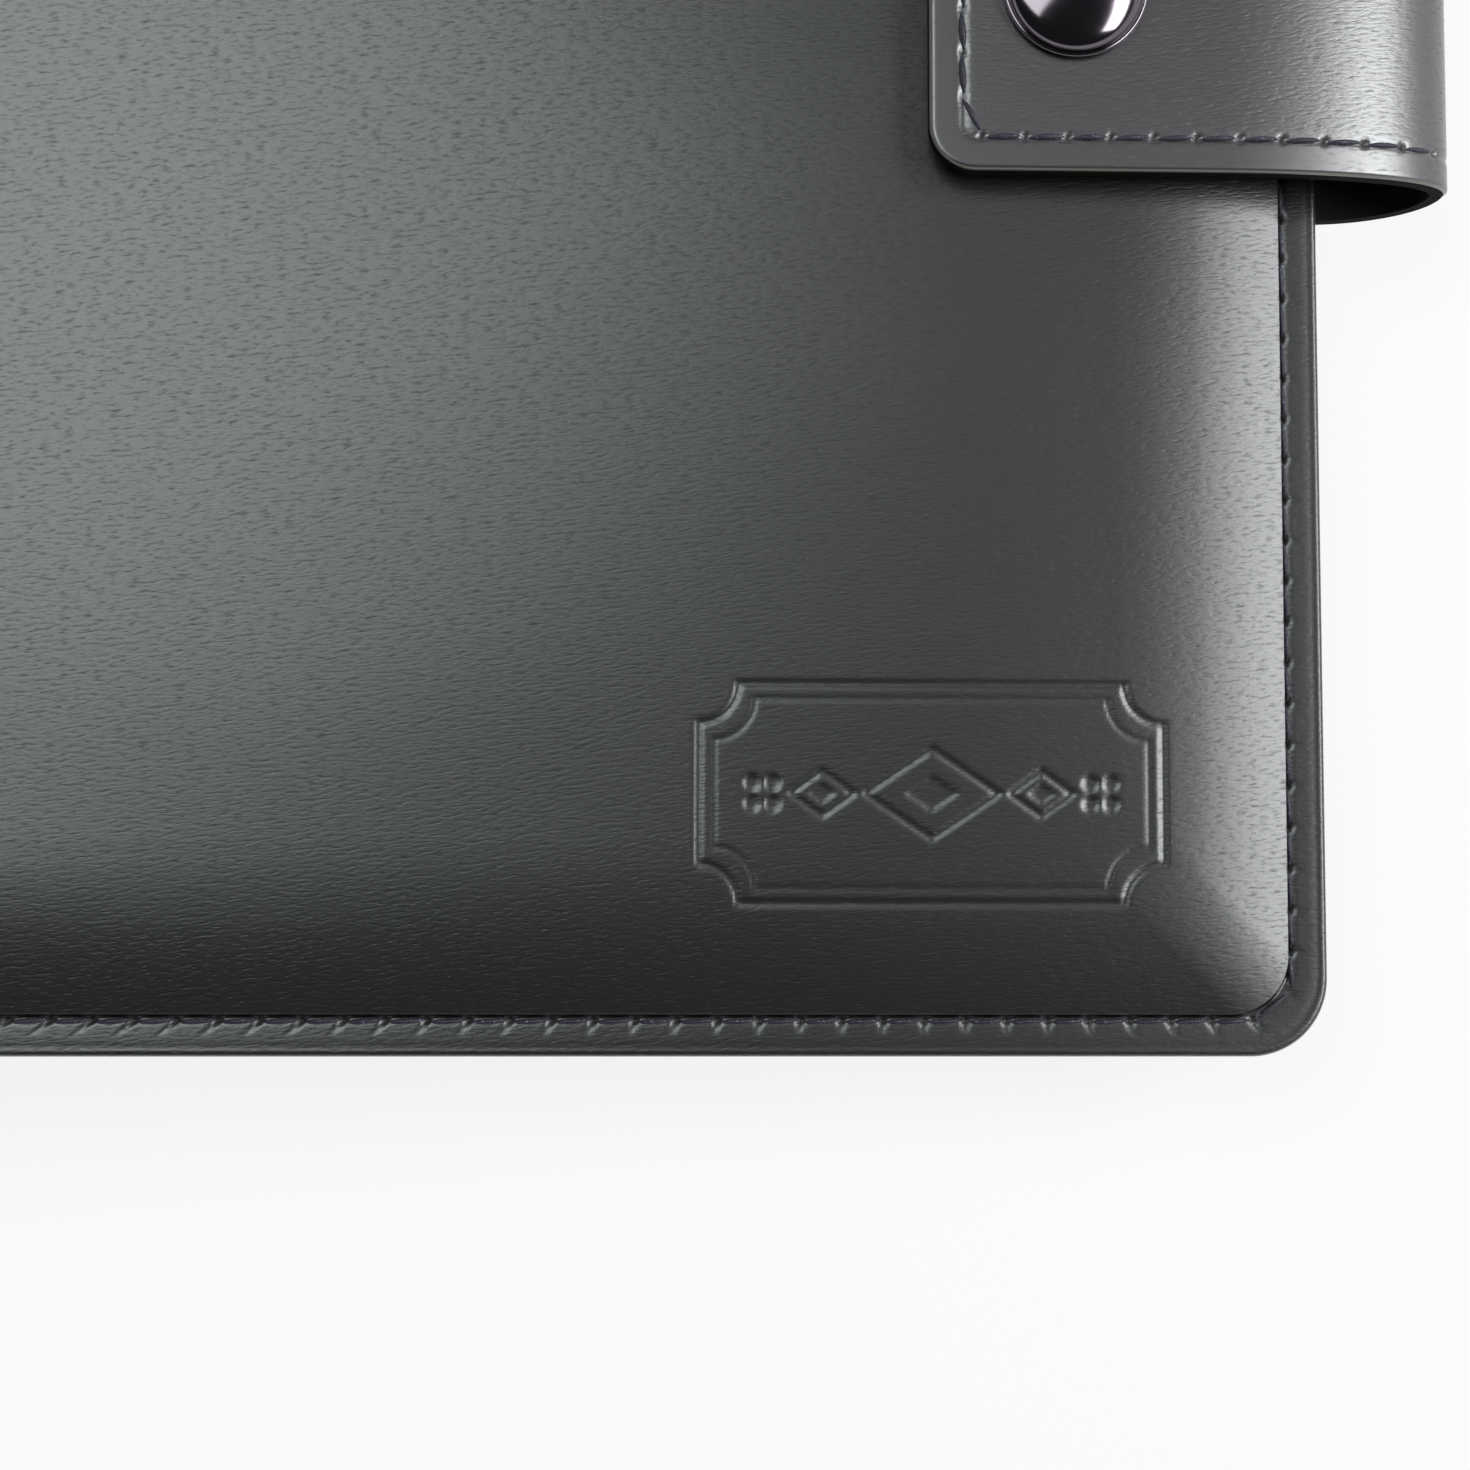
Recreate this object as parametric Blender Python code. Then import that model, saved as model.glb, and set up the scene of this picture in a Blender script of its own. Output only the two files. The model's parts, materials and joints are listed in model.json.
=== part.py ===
"""A ring folder for documents, closed and lying on its back cover.

Two padded leatherette covers hang on a stiff spine. A six-ring mechanism is riveted inside the spine,
pockets and card slots are sewn inside the covers, and a strap sewn to the back cover comes round the
fore-edge and snaps on to the front cover. +X points to the fore-edge, +Y to the head, +Z up through the
front cover, in metres.
"""

import math

import bmesh
import bpy
from mathutils import Matrix, Vector

# Covers
COVER_HEIGHT = 0.230
COVER_WIDTH = 0.173
CORNER_RADIUS = 0.0085
SPINE_CORNER_RADIUS = 0.0010
CORNER_STEPS = 5
SPINE_GAP = 0.0245
FORE_GAP = 0.0092

# Layers of a cover, from the inside out
LINING = 0.0009
BOARD = 0.0016
FOAM = 0.0012
SKIN = 0.00095
LAYER_GAP = 0.0003
LINING_INSET = 0.0008

# Padded panel: its shoulder starts inside the stitched flange
PAD_START = 0.0045
PAD_SLOPE = 0.0112
PAD_CORNER = 0.0040
CROWN = 0.0003
CROWN_INSET = 0.045
SHOULDER_STEPS = (0.0, 0.12, 0.35, 0.65, 1.0)
SHOULDER_POWER = 3
SHOULDER_EASE = 0.75

# Shares of the shoulder, from the stitches in, at which the board and the foam end
BOARD_SHARE = 0.30
FOAM_SHARE = 0.50
FOAM_TOP_SHARE = 0.76

# Spine
CREASE_RADIUS = 0.0045
CREASE_STEPS = 6
CREASE_AXIS_SHARE = 0.215
SPINE_BOARD = 0.0016

# Pockets
POCKET = 0.0007
POCKET_MARGIN = 0.0070
FRONT_POCKET_START = 0.024
FRONT_POCKET_HEIGHT = 0.112
BACK_POCKET_START = 0.024
BACK_POCKET_CLEARANCE = 0.010
BACK_POCKET_HEIGHT = 0.150
SLOT = 0.0005
SLOT_COUNT = 3
SLOT_WIDTH = 0.092
SLOT_HEIGHT = 0.040
SLOT_STEP = 0.014
SLOT_BASE = 0.014

# Strap
STRAP_WIDTH = 0.0400
STRAP_OUTER = 0.00085
STRAP_LINING = 0.00075
STRAP_CORNER = 0.0070
FLAP_LENGTH = 0.044
FLAP_OVERHANG = 0.002
LOOP_REACH = 0.0142
ROOT_TAB = 0.019
ROOT_OVERHANG = 0.0015
HINGE_SPLIT_SHARE = 0.012
HINGE_OUTSIDE = 0.001
HINGE_MIDDLE = 0.5
HINGE_SIDESTEP = 0.01
LOOP_STEPS = 6
BEZIER_CIRCLE = 0.5523
STRAP_OPEN = math.radians(80)

# Snap fastener
SNAP_FROM_FORE_EDGE = 0.0283
SNAP_STEPS = 28
CAP_RADIUS = 0.0078
CAP_HEIGHT = 0.0029
CAP_RIM = 0.0010
SHANK_RADIUS = 0.0014
SHANK_CLEARANCE = 0.0003
SOCKET_RADIUS = 0.0056
SOCKET_HEIGHT = 0.0011
SOCKET_ROOF = 0.0003
STUD_BASE_RADIUS = 0.0050
STUD_BASE = 0.0003
KNOB_RADIUS = 0.0019
KNOB_HEIGHT = 0.0009
KNOB_LIP = 0.0003
KNOB_CLEARANCE = 0.0006
POST_RADIUS = 0.0040
POST_THICKNESS = 0.0003
PIN_RADIUS = 0.0009

# Ring mechanism, measured from the spine's lining
RING_PLACES = (0.035, 0.054, 0.073)
RING_RADIUS = 0.0066
RING_WIRE = 0.0011
RING_CENTRE = 0.0072
RING_FOOT_ANGLE = math.radians(44.5)
RING_TIP_GAP = 0.0004
RING_STEPS = 9
BLADE_THICKNESS = 0.0006
BLADE_OUTER_EDGE = 0.0058
BLADE_INNER_EDGE = 0.0003
BLADE_OUTER_HEIGHT = 0.0007
BLADE_INNER_HEIGHT = 0.00035
BLADE_BEYOND_RING = 0.0030
SHIELD_HALF_WIDTH = 0.0072
SHIELD_RISE = 0.0044
SHIELD_WALL = 0.0006
SHIELD_STEPS = 10
SHIELD_BEYOND_LEVER = 0.0035
SLOT_INNER_EDGE = 0.0032
SLOT_OUTER_EDGE = 0.0068
SLOT_SILL = 0.0013
SLOT_SIDE_CLEARANCE = 0.0006
RIVET_PLACE = 0.020
RIVET_SHANK = 0.0012
RIVET_HEAD = 0.0024
RIVET_HEAD_HEIGHT = 0.0007
RIVET_HEAD_EDGE = 0.0005
RIVET_HEAD_CROWN = 0.0003
RIVET_CLEARANCE = 0.0003
RIVET_STEPS = 16
BLADE_NOTCH_CLEARANCE = 0.0008
LEVER_BEYOND_BLADE = 0.0100
LEVER_PIVOT_HEIGHT = 0.0018
LEVER_HALF_WIDTH = 0.0032
LEVER_TONGUE = 0.0068
LEVER_TAB_REACH = 0.0085
LEVER_TAB_HEIGHT = 0.0092
LEVER_BEND_INNER = 0.0074
LEVER_BEND_OUTER = 0.0064
LEVER_THICKNESS = 0.0009

# Heights in a cover, from its inner face out
BOARD_LOW = LINING + LAYER_GAP
BOARD_HIGH = BOARD_LOW + BOARD
FOAM_LOW = BOARD_HIGH + LAYER_GAP
FOAM_HIGH = FOAM_LOW + FOAM
PAD_TOP = FOAM_HIGH + LAYER_GAP + SKIN
FLANGE_TOP = LINING + LAYER_GAP + SKIN
BOARD_INSET = PAD_START + BOARD_SHARE * PAD_SLOPE
FOAM_INSET = PAD_START + FOAM_SHARE * PAD_SLOPE
FOAM_TOP_INSET = PAD_START + FOAM_TOP_SHARE * PAD_SLOPE

# Where the covers and the spine stand
HALF_HEIGHT = COVER_HEIGHT / 2
BACK_INNER_FACE = PAD_TOP
TILT = math.asin((SPINE_GAP - FORE_GAP) / COVER_WIDTH)
FRONT_TANGENT = CREASE_RADIUS * math.tan((math.pi / 2 + TILT) / 2)
SPINE_OUTER = -COVER_WIDTH / 2 - LAYER_GAP - CREASE_RADIUS
BACK_CORNER = Vector((SPINE_OUTER, 0, BACK_INNER_FACE - FLANGE_TOP))
FRONT_ORIGIN = Vector((
    SPINE_OUTER + (LAYER_GAP + FRONT_TANGENT) * math.cos(TILT) - FLANGE_TOP * math.sin(TILT),
    0,
    BACK_INNER_FACE + SPINE_GAP,
))
BACK_FRAME = Matrix.Translation((-COVER_WIDTH / 2, 0, BACK_INNER_FACE)) @ Matrix.Rotation(math.pi, 4, "X")
FRONT_FRAME = Matrix.Translation(FRONT_ORIGIN) @ Matrix.Rotation(TILT, 4, "Y")
FRONT_CORNER = FRONT_FRAME @ Vector((-LAYER_GAP - FRONT_TANGENT, 0, FLANGE_TOP))
SPINE_BOARD_FACE = SPINE_OUTER + SKIN + LAYER_GAP
SPINE_LINING_FACE = SPINE_BOARD_FACE + SPINE_BOARD + LAYER_GAP + LINING
MECHANISM_FRAME = Matrix.Translation((SPINE_LINING_FACE, 0, BACK_INNER_FACE + SPINE_GAP / 2))

# Heights of the strap and the snap over the front cover
STRAP_THICKNESS = STRAP_OUTER + LAYER_GAP + STRAP_LINING
STUD_LOW = PAD_TOP + CROWN + LAYER_GAP
KNOB_LOW = STUD_LOW + STUD_BASE
SOCKET_LOW = KNOB_LOW + LAYER_GAP
SOCKET_CEILING = KNOB_LOW + KNOB_HEIGHT + LAYER_GAP
SOCKET_HIGH = max(SOCKET_CEILING + SOCKET_ROOF, SOCKET_LOW + SOCKET_HEIGHT)
STRAP_LOW = SOCKET_HIGH + LAYER_GAP
STRAP_HIGH = STRAP_LOW + STRAP_THICKNESS
CAP_LOW = STRAP_HIGH + LAYER_GAP
SNAP_FRAME = FRONT_FRAME @ Matrix.Translation((COVER_WIDTH - SNAP_FROM_FORE_EDGE, 0, 0))

LEATHER = ("black_leatherette", (0.018, 0.018, 0.020), 0.42, 0.0)
LINING_CLOTH = ("lining_cloth", (0.030, 0.030, 0.032), 0.85, 0.0)
CARD_BOARD = ("grey_board", (0.35, 0.32, 0.28), 0.90, 0.0)
FOAM_SHEET = ("foam_sheet", (0.55, 0.55, 0.54), 0.95, 0.0)
DARK_NICKEL = ("dark_nickel", (0.045, 0.042, 0.046), 0.12, 1.0)
BRIGHT_NICKEL = ("bright_nickel", (0.72, 0.72, 0.73), 0.20, 1.0)

axis_places = {}


def clear_scene():
    for old in list(bpy.data.objects):
        bpy.data.objects.remove(old)


def material(look):
    name, colour, roughness, metallic = look
    found = bpy.data.materials.get(name)
    if found:
        return found
    made = bpy.data.materials.new(name)
    made.use_nodes = True
    shader = made.node_tree.nodes["Principled BSDF"]
    shader.inputs["Base Color"].default_value = (*colour, 1)
    shader.inputs["Roughness"].default_value = roughness
    shader.inputs["Metallic"].default_value = metallic
    return made


def add_axis(name, place, parent=None):
    """An empty on a joint's axis, which carries the pieces that turn about it."""
    empty = bpy.data.objects.new(name, None)
    empty.empty_display_size = 0.01
    bpy.context.collection.objects.link(empty)
    empty.location = place
    axis_places[name] = Vector(place)
    if parent:
        empty.parent = bpy.data.objects[parent]
        empty.location = Vector(place) - axis_places[parent]
    return empty


def add_piece(name, data, look, frame=None, axis=None):
    piece = bpy.data.objects.new(name, data)
    bpy.context.collection.objects.link(piece)
    data.materials.append(material((f"{name}_{look[0]}", *look[1:])))
    frame = frame or Matrix.Identity(4)
    if axis:
        piece.parent = bpy.data.objects[axis]
        frame = Matrix.Translation(-axis_places[axis]) @ frame
    piece.matrix_basis = frame
    return piece


def to_mesh(bm, name, smooth_angle=None):
    mesh = bpy.data.meshes.new(name)
    bm.to_mesh(mesh)
    bm.free()
    if smooth_angle is not None:
        mesh.shade_smooth()
        mesh.set_sharp_from_angle(angle=smooth_angle)
    return mesh


def thicken(piece, thickness):
    """Gives a sheet its thickness on the side that its normals point away from."""
    solid = piece.modifiers.new("thickness", "SOLIDIFY")
    solid.thickness = thickness
    solid.offset = -1
    solid.use_even_offset = True


def cut(piece, cutter):
    hole = piece.modifiers.new(cutter.name, "BOOLEAN")
    hole.operation = "DIFFERENCE"
    hole.solver = "EXACT"
    hole.object = cutter


def as_cutter(piece):
    piece.hide_render = True
    piece.display_type = "WIRE"
    return piece


def panel_outline(inset, fore_radius, spine_radius):
    """Corner points of a cover panel set in from its edge, from the fore-edge's tail corner round."""
    low, high = inset, COVER_WIDTH - inset
    side = HALF_HEIGHT - inset
    corners = (
        (high, -side, fore_radius, -90),
        (high, side, fore_radius, 0),
        (low, side, spine_radius, 90),
        (low, -side, spine_radius, 180),
    )
    points = []
    for x, y, radius, start in corners:
        centre_x = x - math.copysign(radius, x - COVER_WIDTH / 2)
        centre_y = y - math.copysign(radius, y)
        for step in range(CORNER_STEPS + 1):
            turn = math.radians(start + 90 * step / CORNER_STEPS)
            points.append((centre_x + radius * math.cos(turn), centre_y + radius * math.sin(turn)))
    return points


def pad_outline(inset):
    return panel_outline(inset, max(CORNER_RADIUS - inset, PAD_CORNER), PAD_CORNER)


def loft(rings, close_bottom=False):
    """Faces between rings of as many points each, with a face across the last ring."""
    bm = bmesh.new()
    loops = [[bm.verts.new(point) for point in ring] for ring in rings]
    for lower, upper in zip(loops, loops[1:]):
        for i, corner in enumerate(lower):
            following = (i + 1) % len(lower)
            bm.faces.new((corner, lower[following], upper[following], upper[i]))
    bm.faces.new(loops[-1])
    if close_bottom:
        bm.faces.new(reversed(loops[0]))
    return bm


def at_height(outline, height):
    return [(x, y, height) for x, y in outline]


def prism(points, along):
    """A flat face through the points, extruded along a vector."""
    bm = bmesh.new()
    face = bm.faces.new([bm.verts.new(point) for point in points])
    swept = bmesh.ops.extrude_face_region(bm, geom=[face])
    moved = [item for item in swept["geom"] if isinstance(item, bmesh.types.BMVert)]
    bmesh.ops.translate(bm, verts=moved, vec=along)
    bmesh.ops.recalc_face_normals(bm, faces=bm.faces)
    return bm


def slab(x_range, y_range, z_range):
    (x0, x1), (y0, y1), (z0, z1) = x_range, y_range, z_range
    return prism([(x0, y0, z0), (x1, y0, z0), (x1, y1, z0), (x0, y1, z0)], (0, 0, z1 - z0))


def turned(profile, steps):
    """A solid of revolution about Z, from a profile of radii and heights that starts and ends on the axis."""
    bm = bmesh.new()
    chain = [bm.verts.new((radius, 0, height)) for radius, height in profile]
    edges = [bm.edges.new(pair) for pair in zip(chain, chain[1:])]
    bmesh.ops.spin(bm, geom=chain + edges, cent=(0, 0, 0), axis=(0, 0, 1), angle=2 * math.pi, steps=steps)
    bmesh.ops.remove_doubles(bm, verts=bm.verts, dist=1e-7)
    bmesh.ops.recalc_face_normals(bm, faces=bm.faces)
    return bm


def ribbon(path, half_widths):
    """A sheet along a path of x and z, whose outside is on the left of its way along the path."""
    bm = bmesh.new()
    rows = []
    for (x, z), half in zip(path, half_widths):
        rows.append([bm.verts.new((x, -half, z)), bm.verts.new((x, half, z))])
    for row, following in zip(rows, rows[1:]):
        bm.faces.new((row[0], following[0], following[1], row[1]))
    return bm


def inside_path(path, distance):
    """The path moved to its right by a distance."""
    moved = []
    for i, (x, z) in enumerate(path):
        before = Vector(path[max(i - 1, 0)])
        after = Vector(path[min(i + 1, len(path) - 1)])
        along = (after - before).normalized()
        moved.append((x + along.y * distance, z - along.x * distance))
    return moved


def quarter_turn(start, start_tangent, end, end_tangent, first, last, steps):
    """Points on a quarter of an oval between two tangents, from one share of it to another."""
    reach_out = abs((end - start).dot(start_tangent)) * BEZIER_CIRCLE
    reach_in = abs((end - start).dot(end_tangent)) * BEZIER_CIRCLE
    handles = (start, start + start_tangent * reach_out, end - end_tangent * reach_in, end)
    points = []
    for step in range(steps + 1):
        t = first + (last - first) * step / steps
        weights = ((1 - t) ** 3, 3 * t * (1 - t) ** 2, 3 * t * t * (1 - t), t**3)
        point = sum((handle * weight for handle, weight in zip(handles, weights)), Vector((0, 0)))
        points.append((point.x, point.y))
    return points


def arc(centre, radius, start, end, steps):
    turns = [start + (end - start) * step / steps for step in range(steps + 1)]
    return [(centre[0] + radius * math.cos(turn), centre[1] + radius * math.sin(turn)) for turn in turns]


def shoulder_height(share):
    """The padded panel's rise over its shoulder: steep at the stitches, flat at the top."""
    return (1 - (1 - share) ** SHOULDER_POWER) ** SHOULDER_EASE


def make_cover_skin(side, frame, crown, axis):
    rings = [
        at_height(panel_outline(0, CORNER_RADIUS, SPINE_CORNER_RADIUS), FLANGE_TOP),
    ]
    for share in SHOULDER_STEPS:
        height = FLANGE_TOP + (PAD_TOP - FLANGE_TOP) * shoulder_height(share)
        rings.append(at_height(pad_outline(PAD_START + PAD_SLOPE * share), height))
    if crown:
        rings.append(at_height(pad_outline(CROWN_INSET), PAD_TOP + crown))
    bm = loft(rings)
    piece = add_piece(f"{side}_skin", to_mesh(bm, f"{side}_skin", math.radians(40)), LEATHER, frame, axis)
    thicken(piece, SKIN)
    return piece


def make_cover_layers(side, frame, axis):
    """Foam, board and lining, which the skin is sewn round."""
    foam_rings = [
        at_height(pad_outline(FOAM_INSET), FOAM_LOW),
        at_height(pad_outline(FOAM_TOP_INSET), FOAM_HIGH),
    ]
    foam = add_piece(f"{side}_foam", to_mesh(loft(foam_rings, True), f"{side}_foam"), FOAM_SHEET, frame, axis)
    board_points = at_height(pad_outline(BOARD_INSET), BOARD_LOW)
    board_mesh = to_mesh(prism(board_points, (0, 0, BOARD)), f"{side}_board")
    board = add_piece(f"{side}_board", board_mesh, CARD_BOARD, frame, axis)
    lining_radius = CORNER_RADIUS - LINING_INSET
    lining_points = at_height(panel_outline(LINING_INSET, lining_radius, SPINE_CORNER_RADIUS), 0)
    lining_mesh = to_mesh(prism(lining_points, (0, 0, LINING)), f"{side}_lining")
    add_piece(f"{side}_lining", lining_mesh, LINING_CLOTH, frame, axis)
    return foam, board


def make_front_pockets():
    deep = -LAYER_GAP
    pocket = slab(
        (FRONT_POCKET_START, COVER_WIDTH - POCKET_MARGIN),
        (POCKET_MARGIN - HALF_HEIGHT, POCKET_MARGIN - HALF_HEIGHT + FRONT_POCKET_HEIGHT),
        (deep - POCKET, deep),
    )
    add_piece("front_pocket", to_mesh(pocket, "front_pocket"), LINING_CLOTH, FRONT_FRAME, "front_axis")
    left = (COVER_WIDTH + FRONT_POCKET_START - SLOT_WIDTH) / 2
    low = POCKET_MARGIN - HALF_HEIGHT + FRONT_POCKET_HEIGHT + SLOT_BASE
    for i in range(SLOT_COUNT):
        top = low + SLOT_HEIGHT + SLOT_STEP * (SLOT_COUNT - 1 - i)
        outer = deep - i * (SLOT + LAYER_GAP)
        card = slab((left, left + SLOT_WIDTH), (low, top), (outer - SLOT, outer))
        name = f"card_slot_{i + 1}"
        add_piece(name, to_mesh(card, name), LINING_CLOTH, FRONT_FRAME, "front_axis")


def make_back_pocket():
    """The back frame is turned over, so its head is at -Y."""
    pocket = slab(
        (BACK_POCKET_START, COVER_WIDTH - ROOT_TAB - BACK_POCKET_CLEARANCE),
        (HALF_HEIGHT - POCKET_MARGIN - BACK_POCKET_HEIGHT, HALF_HEIGHT - POCKET_MARGIN),
        (-LAYER_GAP - POCKET, -LAYER_GAP),
    )
    add_piece("back_pocket", to_mesh(pocket, "back_pocket"), LINING_CLOTH, BACK_FRAME)


def make_spine():
    back_centre = (SPINE_OUTER + CREASE_RADIUS, BACK_CORNER.z + CREASE_RADIUS)
    front_centre = (SPINE_OUTER + CREASE_RADIUS, FRONT_CORNER.z - FRONT_TANGENT)
    path = arc(back_centre, CREASE_RADIUS, math.radians(270), math.radians(180), CREASE_STEPS)
    path += arc(front_centre, CREASE_RADIUS, math.radians(180), math.radians(90) - TILT, CREASE_STEPS)
    skin_mesh = to_mesh(ribbon(path, [HALF_HEIGHT] * len(path)), "spine_skin", math.radians(40))
    thicken(add_piece("spine_skin", skin_mesh, LEATHER, None, "spine_axis"), SKIN)
    low = back_centre[1]
    high = front_centre[1]
    side = HALF_HEIGHT - LINING_INSET
    board_mesh = to_mesh(
        slab((SPINE_BOARD_FACE, SPINE_BOARD_FACE + SPINE_BOARD), (-side, side), (low, high)), "spine_board"
    )
    board = add_piece("spine_board", board_mesh, CARD_BOARD, None, "spine_axis")
    lining_mesh = to_mesh(
        slab((SPINE_LINING_FACE - LINING, SPINE_LINING_FACE), (-side, side), (low, high)), "spine_lining"
    )
    lining = add_piece("spine_lining", lining_mesh, LINING_CLOTH, None, "spine_axis")
    return board, lining


def front_point(x, height):
    """A point of the front cover's own section, as world x and z."""
    point = FRONT_FRAME @ Vector((x, 0, height))
    return Vector((point.x, point.z))


def strap_turns():
    """Ends and tangents of the loop's two quarters, on the strap's outer face."""
    start = front_point(COVER_WIDTH - FLAP_OVERHANG, STRAP_HIGH)
    end = Vector((COVER_WIDTH / 2 + ROOT_OVERHANG, BACK_INNER_FACE + LAYER_GAP))
    far = Vector((COVER_WIDTH / 2 + LOOP_REACH, (start.y + end.y) / 2))
    upper = (start, Vector((math.cos(TILT), -math.sin(TILT))), far, Vector((0, -1)))
    lower = (far, Vector((0, -1)), end, Vector((-1, 0)))
    return upper, lower


def strap_hinge(turn):
    """The axis half way round a quarter, just outside the outer face, so that the ends part as it unrolls."""
    near = (HINGE_MIDDLE - HINGE_SIDESTEP, HINGE_MIDDLE + HINGE_SIDESTEP)
    (x0, z0), (x1, z1), (x2, z2) = quarter_turn(*turn, *near, 2)
    along = Vector((x2 - x0, z2 - z0)).normalized()
    return Vector((x1 - along.y * HINGE_OUTSIDE, 0, z1 + along.x * HINGE_OUTSIDE))


def flap_start():
    """Points of the flap from its free end to the loop, with the half width at each, round at the corners."""
    points = []
    halves = []
    first = COVER_WIDTH - FLAP_LENGTH
    for step in range(CORNER_STEPS + 1):
        turn = math.radians(90 * step / CORNER_STEPS)
        point = front_point(first + STRAP_CORNER * (1 - math.cos(turn)), STRAP_HIGH)
        points.append(tuple(point))
        halves.append(STRAP_WIDTH / 2 - STRAP_CORNER * (1 - math.sin(turn)))
    return points, halves


def make_strap_layers(name, path, halves, axis, cutter=None):
    full = STRAP_WIDTH / 2
    halves = halves + [full] * (len(path) - len(halves))
    layers = (
        ("outer", path, STRAP_OUTER, LEATHER),
        ("lining", inside_path(path, STRAP_OUTER + LAYER_GAP), STRAP_LINING, LEATHER),
    )
    for layer, line, thickness, look in layers:
        mesh = to_mesh(ribbon(line, halves), f"{name}_{layer}", math.radians(40))
        piece = add_piece(f"{name}_{layer}", mesh, look, None, axis)
        thicken(piece, thickness)
        if cutter:
            cut(piece, cutter)


def make_strap():
    upper, lower = strap_turns()
    shank_hole = hole_cutter("shank_hole", SHANK_RADIUS + SHANK_CLEARANCE, SNAP_FRAME, STRAP_LOW, CAP_LOW)
    flap, halves = flap_start()
    flap += quarter_turn(*upper, 0, HINGE_MIDDLE - HINGE_SPLIT_SHARE, LOOP_STEPS)
    make_strap_layers("strap_flap", flap, halves, "strap_lift_axis", shank_hole)
    bend = quarter_turn(*upper, HINGE_MIDDLE + HINGE_SPLIT_SHARE, 1, LOOP_STEPS)
    bend += quarter_turn(*lower, 0, HINGE_MIDDLE - HINGE_SPLIT_SHARE, LOOP_STEPS)[1:]
    make_strap_layers("strap_bend", bend, [], "strap_swing_axis")
    root = quarter_turn(*lower, HINGE_MIDDLE + HINGE_SPLIT_SHARE, 1, LOOP_STEPS)
    root.append((COVER_WIDTH / 2 - ROOT_TAB, BACK_INNER_FACE + LAYER_GAP))
    make_strap_layers("strap_root", root, [], None)


def hole_cutter(name, radius, frame, low, high):
    """A round cutter along a frame's Z, longer than what it goes through."""
    beyond = 2 * LAYER_GAP
    profile = [(0, low - beyond), (radius, low - beyond), (radius, high + beyond), (0, high + beyond)]
    return as_cutter(add_piece(name, to_mesh(turned(profile, SNAP_STEPS), name), DARK_NICKEL, frame))


def make_snap(skin, foam):
    pin_hole = hole_cutter("pin_hole", PIN_RADIUS + LAYER_GAP, SNAP_FRAME, FOAM_HIGH, STUD_LOW)
    cut(skin, pin_hole)
    foam_hole = hole_cutter("foam_hole", POST_RADIUS + SHANK_CLEARANCE, SNAP_FRAME, FOAM_LOW, FOAM_HIGH)
    cut(foam, foam_hole)

    rim_top = CAP_LOW + CAP_RIM
    dome_radius = CAP_RADIUS - CAP_RIM / 2
    cap = [(0, STRAP_LOW), (SHANK_RADIUS, STRAP_LOW), (SHANK_RADIUS, CAP_LOW), (dome_radius, CAP_LOW)]
    cap += [(CAP_RADIUS, CAP_LOW + CAP_RIM / 2), (dome_radius, rim_top)]
    for step in range(1, CORNER_STEPS + 1):
        turn = math.radians(90 * step / CORNER_STEPS)
        cap.append((
            (dome_radius - CAP_RIM / 2) * math.cos(turn),
            rim_top + (CAP_HEIGHT - CAP_RIM) * math.sin(turn),
        ))
    cap[-1] = (0, cap[-1][1])
    add_turned("snap_cap", cap, SNAP_STEPS, DARK_NICKEL, SNAP_FRAME, "strap_lift_axis")

    bore = KNOB_RADIUS + KNOB_CLEARANCE
    socket = [
        (0, SOCKET_CEILING),
        (bore, SOCKET_CEILING),
        (bore, SOCKET_LOW),
        (SOCKET_RADIUS, SOCKET_LOW),
        (SOCKET_RADIUS, SOCKET_HIGH),
        (0, SOCKET_HIGH),
    ]
    add_turned("snap_socket", socket, SNAP_STEPS, DARK_NICKEL, SNAP_FRAME, "strap_lift_axis")

    knob_top = KNOB_LOW + KNOB_HEIGHT
    neck = KNOB_RADIUS - KNOB_LIP
    stud = [
        (0, STUD_LOW),
        (STUD_BASE_RADIUS, STUD_LOW),
        (STUD_BASE_RADIUS, KNOB_LOW),
        (neck, KNOB_LOW),
        (KNOB_RADIUS, (KNOB_LOW + knob_top) / 2),
        (neck, knob_top),
        (0, knob_top),
    ]
    add_turned("snap_stud", stud, SNAP_STEPS, DARK_NICKEL, SNAP_FRAME, "front_axis")

    post_high = FOAM_HIGH
    post = [
        (0, post_high - POST_THICKNESS),
        (POST_RADIUS, post_high - POST_THICKNESS),
        (POST_RADIUS, post_high),
        (PIN_RADIUS, post_high),
        (PIN_RADIUS, STUD_LOW - LAYER_GAP),
        (0, STUD_LOW - LAYER_GAP),
    ]
    add_turned("snap_post", post, SNAP_STEPS, DARK_NICKEL, SNAP_FRAME, "front_axis")


def add_turned(name, profile, steps, look, frame, axis):
    mesh = to_mesh(turned(profile, steps), name, math.radians(35))
    return add_piece(name, mesh, look, frame, axis)


def lever_pivot():
    return max(RING_PLACES) + BLADE_BEYOND_RING + LEVER_BEYOND_BLADE


def rivet_frame(place):
    """Z along the mechanism's height, at a rivet's place."""
    return MECHANISM_FRAME @ Matrix.Translation((0, place, 0)) @ Matrix.Rotation(math.pi / 2, 4, "Y")


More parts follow.
